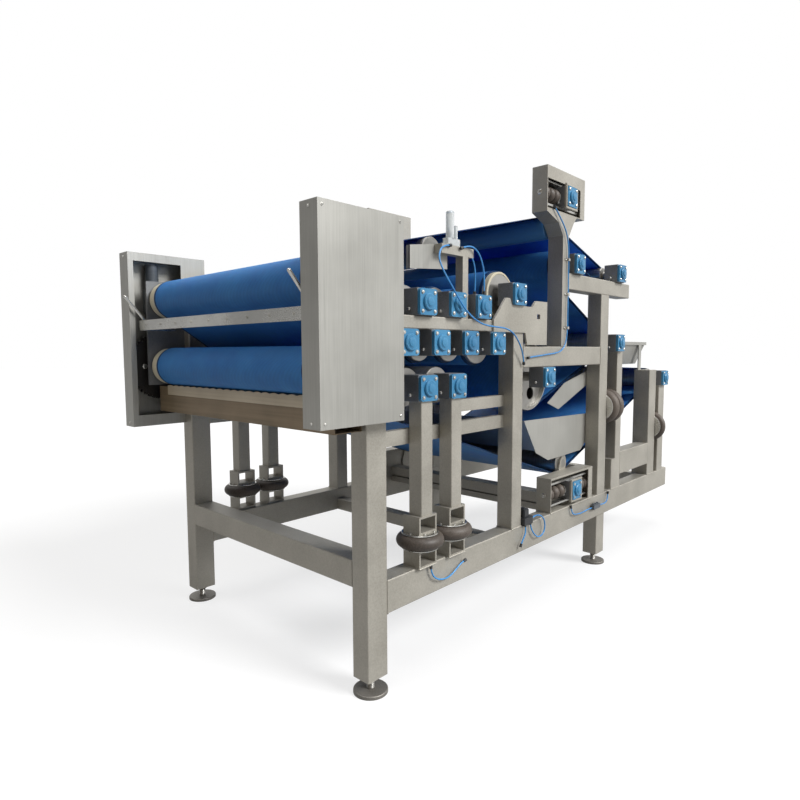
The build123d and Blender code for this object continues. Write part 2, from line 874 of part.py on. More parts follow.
def tension_levers():
    y0, y1 = -frame_half, -inner_face
    one = tube(lever_a_x, lever_a_x + lever_a_width, y0, y1, base_a_top,
               nose_z - block_size / 2, Axis.Z)
    two = tube(lever_c_x, lever_c_x + lever_c_width, y0, y1, rail_top,
               tail_z - block_size / 2, Axis.Z)
    return both([one, two])


def take_up_bars():
    """Two flat bars across the machine between the lower tracking frames."""
    x0, x1 = take_bar_x, take_bar_x + take_bar_width
    upper = block(x0, x1, -inner_face, inner_face, take_bar_low, take_bar_low + take_bar_height)
    lower = block(x0, x1, -inner_face, inner_face, rail_top - 32, rail_top + 8)
    return [upper, lower]


# Sheet metal

def discharge_tray():
    """Trough under the lower drive roller, hung on the front columns."""
    reach = frame_half - cover_in - fit
    t = tray_sheet
    outline = [(tray_x, tray_low), (0, tray_low), (0, tray_back_top), (-t, tray_back_top),
               (-t, tray_low + t), (tray_x + t, tray_low + t), (tray_x + t, tray_front_top),
               (tray_x, tray_front_top)]
    return [upright(outline, -reach, reach)]


def scraper():
    """Blade between the drive rollers, with an arm and a lever at each end."""
    reach = frame_half - side_plate_out - side_plate_thick - fit
    top = scraper_low + scraper_height
    bar = block(scraper_x, scraper_x + scraper_thick, -reach, reach, scraper_low, top)
    arm = block(scraper_x + scraper_thick, scraper_arm_end, -reach,
                -reach + scraper_arm_thick, scraper_low, top)
    y = -reach + lever_radius
    foot_z = top - lever_radius
    length = hypot(lever_foot_x - lever_tip_x, lever_tip_z - foot_z)
    tilt = -atan2(lever_foot_x - lever_tip_x, lever_tip_z - foot_z) * 180 / pi
    middle = Pos((lever_foot_x + lever_tip_x) / 2, y, (foot_z + lever_tip_z) / 2)
    lever = middle * Rot(0, tilt, 0) * Cylinder(lever_radius, length)
    lever += Pos(lever_tip_x, y, lever_tip_z) * Sphere(lever_radius)
    side = arm + lever
    return [bar + side + far(side)]


def juice_tray():
    """Catch tray under the screen drum, with deep side plates."""
    y0 = -inner_face
    t = tray_sheet
    right = rear_leg_x + juice_lip
    outline = [(juice_left, juice_top), (right, juice_top - juice_fall), (right, juice_floor),
               (juice_toe_right, juice_toe_right_low), (juice_toe_left, juice_toe_left_low),
               (juice_heel, juice_floor - juice_heel_drop)]
    near = upright(outline, y0, y0 + t)
    fold = juice_floor_left + juice_fold
    floor = upright([(juice_left, juice_top), (juice_floor_left, juice_floor), (right, juice_floor),
                     (right, juice_floor + t), (fold, juice_floor + t),
                     (juice_left + t, juice_top)], y0 + t, -y0 - t)
    return [near + floor + far(near)]


def tapered(x_half, y_half, x_top, y_top, low, top):
    middle = (hopper_left + hopper_right) / 2
    base = Plane(origin=(middle, 0, low)) * Rectangle(2 * x_half, 2 * y_half)
    lid = Plane(origin=(middle, 0, top)) * Rectangle(2 * x_top, 2 * y_top)
    return loft([base, lid])


def feed_hopper():
    """Tapered feed box over the belt, standing on the feed posts."""
    x_top = (hopper_right - hopper_left) / 2
    y_top = face_half
    t = tray_sheet
    shell = tapered(x_top - hopper_taper, y_top - hopper_taper, x_top, y_top, hopper_low, hopper_top)
    shell -= tapered(x_top - hopper_taper - t, y_top - hopper_taper - t, x_top - t, y_top - t,
                     hopper_low, hopper_top)
    rim = block(hopper_left - t, hopper_right + t, -y_top - t, y_top + t, hopper_top - 24, hopper_top)
    rim -= block(hopper_left + 2 * t, hopper_right - 2 * t, -y_top + 2 * t, y_top - 2 * t,
                 hopper_top - 25, hopper_top + 1)
    leg_x = post_b_x + post_b_width / 2
    leg = block(leg_x - 25, leg_x + 25, -y_top - t, -y_top + t, post_b_top, hopper_top - 12)
    return [shell + rim + leg + far(leg)]


def service_unit():
    """Air filter and lubricator on the near idler bracket."""
    y = -idler_seat - idler_bar / 2
    low = idler_z() + idler_bar / 2
    x = idler_x + service_shift
    body = block(x - 36, x + 62, y - 17, y + 17, low, low + 34)
    body = fillet(body.edges().filter_by(Axis.Z), 6)
    cup = rod_z(x, y, low + 34, low + 34 + cup_height, cup_radius)
    cup = fillet(cup.edges().filter_by(GeomType.CIRCLE).sort_by(Axis.Z)[-1], 8)
    knob = rod_z(x + 42, y, low + 34, low + 34 + cup_height / 2, cup_radius * 0.55)
    return [body + cup + knob]


def main():
    os.makedirs("parts", exist_ok=True)
    nodes = {
        "front_columns": front_columns,
        "levelling_feet": levelling_feet,
        "base_rails": base_rails,
        "cross_members": cross_members,
        "middle_columns": middle_columns,
        "rear_columns": rear_columns,
        "middle_beams": middle_beams,
        "top_beams": top_beams,
        "tower_columns": towers,
        "tracking_heads": tracking_heads,
        "tracking_frames": tracking_frames,
        "tracking_slides": tracking_slides,
        "tracking_arms": tracking_arms,
        "side_rails": side_rails,
        "notched_plates": notched_plates,
        "drive_side_plates": drive_side_plates,
        "drive_gear": drive_gear,
        "gear_motor": gear_motor,
        "drive_rollers": drive_rollers,
        "rubber_lagging": rubber_lagging,
        "upper_press_rollers": upper_press_rollers,
        "lower_press_rollers": lower_press_rollers,
        "push_rollers": push_rollers,
        "pressure_drum": pressure_drum,
        "screen_drum": screen_drum,
        "guide_rollers": guide_rollers,
        "idler_brackets": idler_brackets,
        "bearing_housings": bearing_housings,
        "bearing_units": bearing_units,
        "push_posts": push_posts,
        "push_brackets": push_brackets,
        "feed_frame": feed_frame,
        "tension_levers": tension_levers,
        "take_up_bars": take_up_bars,
        "discharge_tray": discharge_tray,
        "scraper": scraper,
        "juice_tray": juice_tray,
        "feed_hopper": feed_hopper,
        "service_unit": service_unit,
    }
    for name, make in nodes.items():
        save(name, make())
    save("near_cover", [cover(cover_low)])
    save("far_cover", [far(cover(far_cover_low))])
    springs = push_springs() + tension_springs() + tracking_springs()
    save("air_springs", rubber_of(springs))
    save("air_spring_plates", plates_of(springs))
    save("upper_belt", [belt(upper_belt_stops())])
    save("lower_belt", [belt(lower_belt_stops())])


main()
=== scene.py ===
# %% [markdown]
# # A belt filter press, dressed for its picture
#
# The machine squeezes fruit pulp between two wide belts. Its frame, rollers, belts and bearings
# come from the CAD model, which is loaded first and is never moved. This script gives each of
# those parts its real finish and adds what is small or thin beside them: bolts, weld beads,
# screws, a guard, plates that lead the juice, and the air hoses with their fittings.

# %% Load the machine
from math import cos, pi, radians, sin

import bmesh
import bpy
from mathutils import Matrix, Vector


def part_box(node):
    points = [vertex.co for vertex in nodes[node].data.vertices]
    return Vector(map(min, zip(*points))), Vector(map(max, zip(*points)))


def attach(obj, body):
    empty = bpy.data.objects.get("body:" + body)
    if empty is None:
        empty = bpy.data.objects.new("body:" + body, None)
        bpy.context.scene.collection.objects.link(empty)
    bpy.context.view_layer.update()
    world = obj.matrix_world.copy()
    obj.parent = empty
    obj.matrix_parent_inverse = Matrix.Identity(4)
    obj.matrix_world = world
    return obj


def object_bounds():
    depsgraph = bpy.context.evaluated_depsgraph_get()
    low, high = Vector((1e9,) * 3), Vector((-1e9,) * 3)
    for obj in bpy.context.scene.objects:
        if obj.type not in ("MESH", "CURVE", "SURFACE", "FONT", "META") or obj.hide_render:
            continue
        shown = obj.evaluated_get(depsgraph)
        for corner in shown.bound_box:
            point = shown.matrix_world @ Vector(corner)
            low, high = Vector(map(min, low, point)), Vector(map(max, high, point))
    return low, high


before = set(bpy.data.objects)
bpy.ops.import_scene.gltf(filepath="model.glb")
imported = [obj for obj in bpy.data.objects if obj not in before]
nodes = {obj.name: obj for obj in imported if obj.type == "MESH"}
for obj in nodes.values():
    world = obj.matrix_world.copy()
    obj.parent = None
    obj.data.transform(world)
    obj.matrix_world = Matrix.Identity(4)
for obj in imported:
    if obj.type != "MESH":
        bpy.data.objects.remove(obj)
cad_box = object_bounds()
MM = 0.001
MIDDLE_X = 1.6075  # where the machine's middle lies on the X of its drawing
print("CAD parts:", len(nodes))

# %% [markdown]
# ## The camera
#
# The photograph was taken from a standing person's eye height, close to the drive end, with a
# wide lens. Its place and turn were worked out from the corners of the frame tubes. A camera
# that is set by one matrix keeps yaw, pitch and roll apart, so each can be corrected by itself.

# %% Set the camera
EYE = Vector((-3.2837, -2.5575, 1.5030))
YAW = 0.817987
PITCH = 0.082039
ROLL = -0.003999
lens = bpy.data.cameras.new("eye_height_camera")
lens.sensor_fit = "HORIZONTAL"
lens.sensor_width = 36.0
lens.lens = 26.50
camera = bpy.data.objects.new("eye_height_camera", lens)
bpy.context.scene.collection.objects.link(camera)
turned = Matrix.Rotation(-YAW, 4, "Z") @ Matrix.Rotation(pi / 2 - PITCH, 4, "X")
camera.matrix_world = Matrix.Translation(EYE) @ turned @ Matrix.Rotation(ROLL, 4, "Z")
bpy.context.scene.camera = camera
print("camera height in metres:", round(EYE.z, 3))

# %% [markdown]
# ## Colours
#
# A paint or metal colour is read off as an sRGB hex value, as on any colour chart, while the
# renderer counts in linear light. A table of ready linear values would hide which colour is
# meant, so one function turns the first into the second.

# %% Colour helper


def linear(code):
    """Turn an sRGB hex colour into the linear colour that a shader counts in."""
    channels = [int(code[i:i + 2], 16) / 255 for i in (1, 3, 5)]
    light = [c / 12.92 if c <= 0.04045 else ((c + 0.055) / 1.055) ** 2.4 for c in channels]
    return (*light, 1.0)


print("mid grey in linear light:", round(linear("#808080")[0], 3))

# %% [markdown]
# ## Shader nodes
#
# Nodes can be added by hand in the shader editor, but a script repeats them for every finish.
# One function adds a node, fills in its numbers and joins it up, which keeps each material
# below short.

# %% Node helper
MIX_FACTOR, MIX_FIRST, MIX_SECOND, MIX_COLOUR = 0, 6, 7, 2  # sockets of a colour Mix node


def add_node(material, kind, settings=None, links=None):
    """Add a shader node, fill in its inputs or properties, and link what feeds it."""
    tree = material.node_tree
    node = tree.nodes.new(kind)
    for key, value in (settings or {}).items():
        if isinstance(key, int) or key in node.inputs:
            node.inputs[key].default_value = value
        else:
            setattr(node, key, value)
    for key, socket in (links or {}).items():
        tree.links.new(socket, node.inputs[key])
    return node


# %% [markdown]
# ## One way to make a worn surface
#
# Ground steel, cast iron, paint and rubber all show the same three things in their own measure:
# a fine grain from how the surface was made, wide patches where it has been handled or rained
# on, and a gloss that changes with both. Pictures would have to be unwrapped round every part,
# while a noise keeps its size in millimetres by itself. So one function lays a fine noise and a
# wide noise over two tones, and each finish gives it its sizes.

# %% A surface with grain and patches
PATCH_MM = 260.0
GRAIN_SHARE = 0.45  # the rest of the pattern comes from the patches
GRAIN_DETAIL, PATCH_DETAIL = 3.0, 4.0
DARK_AT, LIGHT_AT = 0.36, 0.64
GLOSSIER, DULLER = 0.05, 0.07
RELIEF_STRENGTH = 0.35


def worn_surface(name, dark, light, grain_mm, run, roughness, metallic, relief_mm):
    """A finish of two tones: grain_mm is its grain, run stretches it along X, Y and Z."""
    material = bpy.data.materials.new(name)
    material.use_nodes = True
    shader = material.node_tree.nodes["Principled BSDF"]
    place = add_node(material, "ShaderNodeTexCoord")
    stretch = add_node(material, "ShaderNodeMapping", {"Scale": [1 / r for r in run]},
                       {"Vector": place.outputs["Object"]})
    grain = add_node(material, "ShaderNodeTexNoise",
                     {"Scale": 1 / (grain_mm * MM), "Detail": GRAIN_DETAIL},
                     {"Vector": stretch.outputs["Vector"]})
    patch = add_node(material, "ShaderNodeTexNoise",
                     {"Scale": 1 / (PATCH_MM * MM), "Detail": PATCH_DETAIL},
                     {"Vector": place.outputs["Object"]})
    both = add_node(material, "ShaderNodeMath", {"operation": "MULTIPLY_ADD", 1: GRAIN_SHARE},
                    {0: grain.outputs[0]})
    share = add_node(material, "ShaderNodeMath", {"operation": "MULTIPLY", 1: 1 - GRAIN_SHARE},
                     {0: patch.outputs[0]})
    material.node_tree.links.new(share.outputs[0], both.inputs[2])
    spread = add_node(material, "ShaderNodeMapRange", {"From Min": DARK_AT, "From Max": LIGHT_AT},
                      {"Value": both.outputs[0]})
    tone = add_node(material, "ShaderNodeMix",
                    {"data_type": "RGBA", MIX_FIRST: linear(dark), MIX_SECOND: linear(light)},
                    {MIX_FACTOR: spread.outputs["Result"]})
    shine = add_node(material, "ShaderNodeMapRange",
                     {"To Min": roughness - GLOSSIER, "To Max": roughness + DULLER},
                     {"Value": spread.outputs["Result"]})
    relief = add_node(material, "ShaderNodeBump",
                      {"Strength": RELIEF_STRENGTH, "Distance": relief_mm * MM},
                      {"Height": grain.outputs[0]})
    links = material.node_tree.links
    links.new(tone.outputs[MIX_COLOUR], shader.inputs["Base Color"])
    links.new(shine.outputs["Result"], shader.inputs["Roughness"])
    links.new(relief.outputs["Normal"], shader.inputs["Normal"])
    shader.inputs["Metallic"].default_value = metallic
    print("finish:", name, "grain", grain_mm, "mm")
    return material


# %% [markdown]
# ## Steel
#
# The frame is stainless tube, type 304, ground with a belt after welding. Grinding leaves short
# scratches about 0.2 mm wide, which scatter light so widely that the tube looks a matt warm
# grey with no mirror image. A full metal would mirror the white room, so the dusty frame is set
# half metallic. Scratches of 0.2 mm are too fine to show, so the grain is drawn at 7 mm. The
# covers are the same steel, brushed one way, so their grain runs up and down.

# %% Frame, sheet and turned steel
# how many times longer the grain is along X, Y and Z
UP = (1.0, 1.0, 60.0)
ACROSS = (1.0, 60.0, 1.0)
RINGS = (40.0, 1.0, 40.0)
EVEN = (1.0, 1.0, 1.0)

# matt, warm and a little blotchy
ground_tube = worn_surface("ground_stainless_tube", "#9E9A90", "#B5B1A7", 7.0, EVEN, 0.48, 0.50, 0.05)
# brushed sheet: upright streaks and a softer sheen; the real ones are finer, drawn at 5 mm
brushed_sheet = worn_surface("brushed_stainless_sheet", "#A09F99", "#B0AFA9", 5.0, UP, 0.44, 0.45, 0.02)
# the tray's sheet is painted dark, as painted shade for the shade it lies in, with a warm tint from dried
# juice, in smears about 14 mm wide
juice_tint_and_shade_sheet = worn_surface("juice_tint_and_painted_shade_sheet", "#75664F", "#94826A", 14.0, ACROSS, 0.50, 0.2, 0.05)
# turned rollers: brighter than the frame, with rings; cut 0.3 mm apart, they are drawn at 6 mm
turned_steel = worn_surface("turned_stainless_roller", "#9A9893", "#BDBBB6", 6.0, RINGS, 0.32, 0.85, 0.03)
# the feet stand on a wet floor, so their steel is dull and dark
foot_steel = worn_surface("wet_floor_foot_steel", "#6B6863", "#918D86", 5.0, EVEN, 0.50, 0.5, 0.05)
# bolts, screws and discs, plated with zinc: bright and clean, with a faint crystal pattern
bright_steel = worn_surface("zinc_plated_steel", "#B4B3AE", "#DAD9D4", 3.0, EVEN, 0.26, 0.9, 0.03)

# %% [markdown]
# ## Castings and paint
#
# The bearing housings are sand-cast iron: the sand leaves a pebbled skin of about 1 mm, painted
# a middle grey. The bearing units in front of them are cast too, sprayed in a glossy sky blue
# enamel, which fills the pebbles and shows soft highlights. The drive gear is cast iron left in
# its oil. Pebbles of 1 mm are too fine to show, so they are drawn 3 to 5 mm wide, and only in
# the bump: modelled ones would take millions of faces and look the same from here.

# %% Castings and paint
# rough grey paint over the pebbles: broad, dull highlights; the drive side plates wear it too, as painted
# shade for the dark space round the roller ends
housing_paint_and_plate_shade = worn_surface("housing_paint_and_painted_shade", "#636567", "#8E9093", 3.0, EVEN, 0.46, 0.3, 0.3)
# smooth enamel: a clear blue with a small soft highlight
blue_enamel = worn_surface("sky_blue_enamel", "#35759F", "#4A8FB8", 4.0, EVEN, 0.34, 0.0, 0.2)
# nearly black, with a greasy shine
oiled_iron = worn_surface("oiled_cast_iron", "#1A1918", "#33302E", 5.0, EVEN, 0.40, 0.4, 0.3)
# a thick coat on the motor's casting: even and half glossy
motor_paint = worn_surface("motor_grey_enamel", "#454B51", "#666C73", 4.0, EVEN, 0.38, 0.0, 0.2)

# %% [markdown]
# ## Rubber and plastic
#
# The air springs are moulded rubber bellows, dusty black and dull. The drive rollers wear a
# cream rubber lagging, cast and ground, that grips the belt. The tray's scalloped lip is cut
# from cream polyethylene, and the hoses are extruded blue polyurethane, smooth and slightly
# waxy. None of them is a metal, so only their colour, gloss and grain differ.

# %% Rubber and plastic
# moulded rubber under a film of dust: brown-black, with no clear highlight
bellows_rubber = worn_surface("moulded_black_rubber", "#453E38", "#6A6057", 7.0, EVEN, 0.55, 0.0, 0.3)
# ground rubber: chalky and even
cream_rubber = worn_surface("cream_rubber_lagging", "#BDB49A", "#D8D1BB", 6.0, EVEN, 0.62, 0.0, 0.3)
# cut plastic sheet: a faint grain along the lip and a soft sheen
cream_plastic = worn_surface("cream_polyethylene", "#B5A890", "#CFC3AC", 8.0, ACROSS, 0.50, 0.0, 0.1)
# extruded hose: smooth, with one thin highlight along it
hose_blue = worn_surface("blue_polyurethane_hose", "#2E7FC4", "#4A9BDA", 12.0, EVEN, 0.32, 0.0, 0.02)
# moulded nylon: black with a low shine
fitting_black = worn_surface("black_nylon_fitting", "#1C1D1F", "#34363A", 4.0, EVEN, 0.42, 0.0, 0.05)

# %% [markdown]
# ## Clear plastic
#
# The bowls of the air service unit are moulded in clear polycarbonate. Clear plastic needs light
# to pass through it, so transmission is set on the shader's own socket, with the plastic's real
# IOR. It stays below one half, because the unit's body, which isn't clear, shares the material.

# %% Clear bowl
clear_bowl = worn_surface("clear_polycarbonate", "#E6ECEC", "#F7FAFA", 10.0, EVEN, 0.14, 0.0, 0.01)
bowl_shader = clear_bowl.node_tree.nodes["Principled BSDF"]
bowl_shader.inputs["Transmission Weight"].default_value = 0.45
bowl_shader.inputs["IOR"].default_value = 1.58

# %% [markdown]
# ## The lagged tracking roller
#
# The guide rollers are bare turned steel, but the high one that steers the upper belt wears a
# blue rubber lagging for grip. The CAD part holds all the guide rollers, so one material tells
# them apart by height: above 2.15 m it is blue rubber, which is no metal, and below it is steel.

# %% Guide rollers, one of them lagged
LAGGED_ABOVE = 2.15
BARE_METALLIC = 0.8
guide_steel = worn_surface("turned_and_lagged_roller", "#9A9893", "#BDBBB6", 6.0, RINGS, 0.34,
                           BARE_METALLIC, 0.03)
guide_shader = guide_steel.node_tree.nodes["Principled BSDF"]
bare_tone = guide_shader.inputs["Base Color"].links[0].from_socket
guide_place = add_node(guide_steel, "ShaderNodeTexCoord")
guide_axes = add_node(guide_steel, "ShaderNodeSeparateXYZ", None,
                      {0: guide_place.outputs["Object"]})
lagged = add_node(guide_steel, "ShaderNodeMath", {"operation": "GREATER_THAN", 1: LAGGED_ABOVE},
                  {0: guide_axes.outputs["Z"]})
lagged_tone = add_node(guide_steel, "ShaderNodeMix",
                       {"data_type": "RGBA", MIX_SECOND: linear("#4A80B4")},
                       {MIX_FACTOR: lagged.outputs[0], MIX_FIRST: bare_tone})
metal_share = add_node(guide_steel, "ShaderNodeMapRange",
                       {"To Min": BARE_METALLIC, "To Max": 0.0}, {"Value": lagged.outputs[0]})
guide_steel.node_tree.links.new(lagged_tone.outputs[MIX_COLOUR], guide_shader.inputs["Base Color"])
guide_steel.node_tree.links.new(metal_share.outputs["Result"], guide_shader.inputs["Metallic"])

# %% [markdown]
# ## The filter belt
#
# A press belt is polyester yarn woven in a twill, with pores that let the juice through. Such
# an open cloth also lets daylight through, which makes its shaded side a deep clear blue. A
# see-through shader would show the rollers behind it, so some light scatters inside it instead.

# %% Woven belt
DAMP_MM = 60.0  # damp places, which are wider than any grain of the cloth
SCATTER_REACH = 0.012  # metres that light may wander inside the cloth
REACH_BY_COLOUR = (0.25, 0.6, 1.0)
belt_low, belt_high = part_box("upper_belt")
filter_cloth = worn_surface("woven_polyester_belt", "#316EB0", "#407FBE", DAMP_MM, EVEN,
                            0.58, 0.0, 0.05)
cloth_shader = filter_cloth.node_tree.nodes["Principled BSDF"]
cloth_shader.inputs["Specular IOR Level"].default_value = 0.22
cloth_shader.inputs["Subsurface Weight"].default_value = 0.45
cloth_shader.inputs["Subsurface Radius"].default_value = REACH_BY_COLOUR
cloth_shader.inputs["Subsurface Scale"].default_value = SCATTER_REACH
print("belt width in metres:", round(belt_high.y - belt_low.y, 3))

# %% [markdown]
# The threads are under 1 mm apart, too fine to show, so the twill ribs are drawn 14 mm apart
# and faint. Modelled threads would be far too many, so a wave texture shades the ribs.

# %% Twill ribs
RIB_MM = 14.0
RIB_DARK, RIB_LIGHT = 0.94, 1.03
RIB_WANDER = 0.4
WAVE_TURN = 2 * pi / 20  # a band texture of scale 1 repeats after this many metres
cloth_tone = cloth_shader.inputs["Base Color"].links[0].from_socket
cloth_place = add_node(filter_cloth, "ShaderNodeTexCoord")
ribs = add_node(filter_cloth, "ShaderNodeTexWave",
                {"wave_type": "BANDS", "bands_direction": "DIAGONAL",
                 "Scale": WAVE_TURN / (RIB_MM * MM), "Distortion": RIB_WANDER},
                {"Vector": cloth_place.outputs["Object"]})
rib_shade = add_node(filter_cloth, "ShaderNodeMapRange",
                     {"To Min": RIB_DARK, "To Max": RIB_LIGHT}, {"Value": ribs.outputs[1]})
ribbed = add_node(filter_cloth, "ShaderNodeVectorMath", {"operation": "SCALE"},
                  {0: cloth_tone, "Scale": rib_shade.outputs["Result"]})
print("twill ribs every", RIB_MM, "mm")

# %% [markdown]
# The two edges are sealed with glue that dries darker, in a band 18 mm wide. A slot of its own
# would need the belt's faces cut along the band, so the band is found from how far a point lies
# from the middle of the machine.

# %% Sealed edges
EDGE_BAND_MM = 18.0
axes = add_node(filter_cloth, "ShaderNodeSeparateXYZ", None, {0: cloth_place.outputs["Object"]})
from_middle = add_node(filter_cloth, "ShaderNodeMath", {"operation": "ABSOLUTE"},
                       {0: axes.outputs["Y"]})
at_edge = add_node(filter_cloth, "ShaderNodeMath",
                   {"operation": "GREATER_THAN", 1: belt_high.y - EDGE_BAND_MM * MM},
                   {0: from_middle.outputs[0]})
sealed = add_node(filter_cloth, "ShaderNodeMix",
                  {"data_type": "RGBA", MIX_SECOND: linear("#17365C")},
                  {MIX_FACTOR: at_edge.outputs[0], MIX_FIRST: ribbed.outputs[0]})
filter_cloth.node_tree.links.new(sealed.outputs[MIX_COLOUR], cloth_shader.inputs["Base Color"])
print("sealed edge band:", EDGE_BAND_MM, "mm")

# %% [markdown]
# ## Dress the CAD parts
#
# Each CAD part keeps its shape, which is already right, and only its material slots are filled.
# A statement for each part would be long, so each finish has a list of its parts: it is easy to
# read, and the last line shows at once if a part was forgotten.

# %% Finishes for the CAD parts
DRESS = {
    ground_tube: ["front_columns", "base_rails", "cross_members", "middle_columns", "rear_columns",
                  "middle_beams", "top_beams", "tower_columns", "tracking_heads",
                  "tracking_frames", "side_rails", "notched_plates", "push_posts",
                  "push_brackets", "feed_frame", "tension_levers", "take_up_bars",
                  "idler_brackets", "tracking_arms"],
    brushed_sheet: ["near_cover", "far_cover", "juice_tray", "feed_hopper"],
    # the tray's dark sheet is partly painted shade
    juice_tint_and_shade_sheet: ["discharge_tray"],
    turned_steel: ["drive_rollers", "upper_press_rollers", "lower_press_rollers", "push_rollers",
                   "pressure_drum", "screen_drum"],
    guide_steel: ["guide_rollers"],
    foot_steel: ["levelling_feet"],
    bright_steel: ["tracking_slides", "air_spring_plates", "scraper"],
    # the drive side plates get this darker paint as painted shade, since the space round the roller ends
    # lies in shade
    housing_paint_and_plate_shade: ["bearing_housings", "drive_side_plates"],
    blue_enamel: ["bearing_units"],
    oiled_iron: ["drive_gear"],
    motor_paint: ["gear_motor"],
    bellows_rubber: ["air_springs"],
    cream_rubber: ["rubber_lagging"],
    clear_bowl: ["service_unit"],
    filter_cloth: ["upper_belt", "lower_belt"],
}
dressed = set()
for finish, names in DRESS.items():
    for name in names:
        for place in nodes[name].material_slots:
            place.material = finish
        dressed.add(name)
print("CAD parts left bare:", sorted(set(nodes) - dressed))

# %% [markdown]
# ## Tools for the small pieces
#
# What sits on a CAD part of its own, such as a bolt on a bearing unit, takes its place from that
# part's solids, so it follows when a size of the machine changes. The guard, the deflectors,
# the hoses and what belongs to the hoses were placed from the photograph.
#
# Bolts, fittings and discs are all turned or forged round an axis. A ready-made cylinder has no
# chamfer, so one function turns an outline round a line, with six steps for a hexagon and more
# for a round.

# %% Turned shapes
HEXAGON, SMALL_ROUND, ROUND = 6, 16, 24  # steps round the axis


def lathe(mesh, centre, axis, outline, steps=ROUND):
    """Turn an outline of (distance along, radius) round an axis through centre."""
    turn = Vector(axis).to_track_quat("Z", "Y")
    rings = []
    for along, radius in outline:
        angles = [2 * pi * i / steps for i in range(steps)]
        points = [Vector((radius * cos(a), radius * sin(a), along)) for a in angles]
        rings.append([mesh.verts.new(Vector(centre) + turn @ p) for p in points])
    for first, second in zip(rings, rings[1:]):
        for i in range(steps):
            j = (i + 1) % steps
            mesh.faces.new((first[i], first[j], second[j], second[i]))
    mesh.faces.new(list(reversed(rings[0])))
    mesh.faces.new(rings[-1])


# %% [markdown]
# Sheet parts are cut flat and stand on edge here, so a plate needs only its outline in X and Z
# and its two faces. Square stock is a box, but no real bar has a razor edge: the small bevel
# along each edge catches a line of light.

# %% Plates and bars


def plate(mesh, outline, y_low, y_high):
    """A flat plate: an outline in X and Z between two values of Y."""
    front = [mesh.verts.new((x, y_low, z)) for x, z in outline]
    back = [mesh.verts.new((x, y_high, z)) for x, z in outline]
    mesh.faces.new(front)
    mesh.faces.new(list(reversed(back)))
    for i in range(len(outline)):
        j = (i + 1) % len(outline)
        mesh.faces.new((front[i], back[i], back[j], front[j]))


def bar(mesh, low, high, edge=0.002):
    """A bar between two corners with its edges broken."""
    low, high = Vector(low), Vector(high)
    corners = bmesh.ops.create_cube(mesh, size=1.0)["verts"]
    for corner in corners:
        corner.co = (low + high) / 2 + corner.co * (high - low)
    edges = list({e for corner in corners for e in corner.link_edges})
    bmesh.ops.bevel(mesh, geom=edges, offset=edge, segments=2, affect="EDGES")


# %% [markdown]
# Every piece ends the same way: its faces are turned outwards, it is shaded smooth with its
# hard edges kept sharp, and it is tied to the machine. One function does this for all, so that
# no step is forgotten.

# %% Make the object
SHARP_DEGREES = 32
pieces = []


def settle(name, mesh, finish):
    """Make the object from its mesh and let it ride on the machine."""
    bmesh.ops.recalc_face_normals(mesh, faces=mesh.faces)
    data = bpy.data.meshes.new(name)
    mesh.to_mesh(data)
    mesh.free()
    data.materials.append(finish)
    data.shade_smooth()
    data.set_sharp_from_angle(angle=radians(SHARP_DEGREES))
    piece = bpy.data.objects.new(name, data)
    bpy.context.scene.collection.objects.link(piece)
    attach(piece, "root")
    pieces.append(piece)
    print(name, "faces:", len(data.polygons))


# %% [markdown]
# A CAD part often holds many solids in one mesh, such as all the bearing housings. A bolt on
# each of them needs their corners one by one. Vertices that are joined by edges belong to one
# solid, so the function walks along the edges until a solid is complete. The boxes are sorted
# at the end, so every run gives them in the same order.

# %% Find the solids of a CAD part
SAME_POINT = 1e-5


def solids(name):
    """The lowest and highest corner of each separate solid in a CAD part."""
    mesh = bmesh.new()
    mesh.from_mesh(nodes[name].data)
    bmesh.ops.remove_doubles(mesh, verts=mesh.verts, dist=SAME_POINT)
    left = set(mesh.verts)
    boxes = []
    while left:
        group = [left.pop()]
        for vertex in group:
            for edge in vertex.link_edges:
                other = edge.other_vert(vertex)
                if other in left:
                    left.remove(other)
                    group.append(other)
        low = Vector([min(v.co[i] for v in group) for i in range(3)])
        high = Vector([max(v.co[i] for v in group) for i in range(3)])
        boxes.append((low, high))
    mesh.free()
    return sorted(boxes, key=lambda box: (tuple(box[0]), tuple(box[1])))


# %% [markdown]
# ## Bolts on the bearing units
#
# Each blue unit is held by four M8 bolts, one in each corner, with a plain washer. A bare
# cylinder would fill the place, but the washer and the chamfer of the hexagon head are what
# catch the light, so both are made. All sizes of a head follow from its thread, so one function
# serves for large and small bolts.

# %% A bolt


def bolt(mesh, centre, axis, size):
    """A hexagon bolt head on its washer, in shares of size, the thread's diameter."""
    washer = [(0.0, 1.1), (0.2, 1.1)]
    head = [(0.2, 0.88), (0.72, 0.94), (0.85, 0.72)]
    for outline, steps in ((washer, SMALL_ROUND), (head, HEXAGON)):
        sized = [(along * size, radius * size) for along, radius in outline]
        lathe(mesh, centre, axis, sized, steps)


# %% [markdown]
# The places of the bolts come from the unit's own corners. In the middle of each unit a pressed
# cap, painted with it, covers the roller's shaft end: a low disc with a wider seat under it.

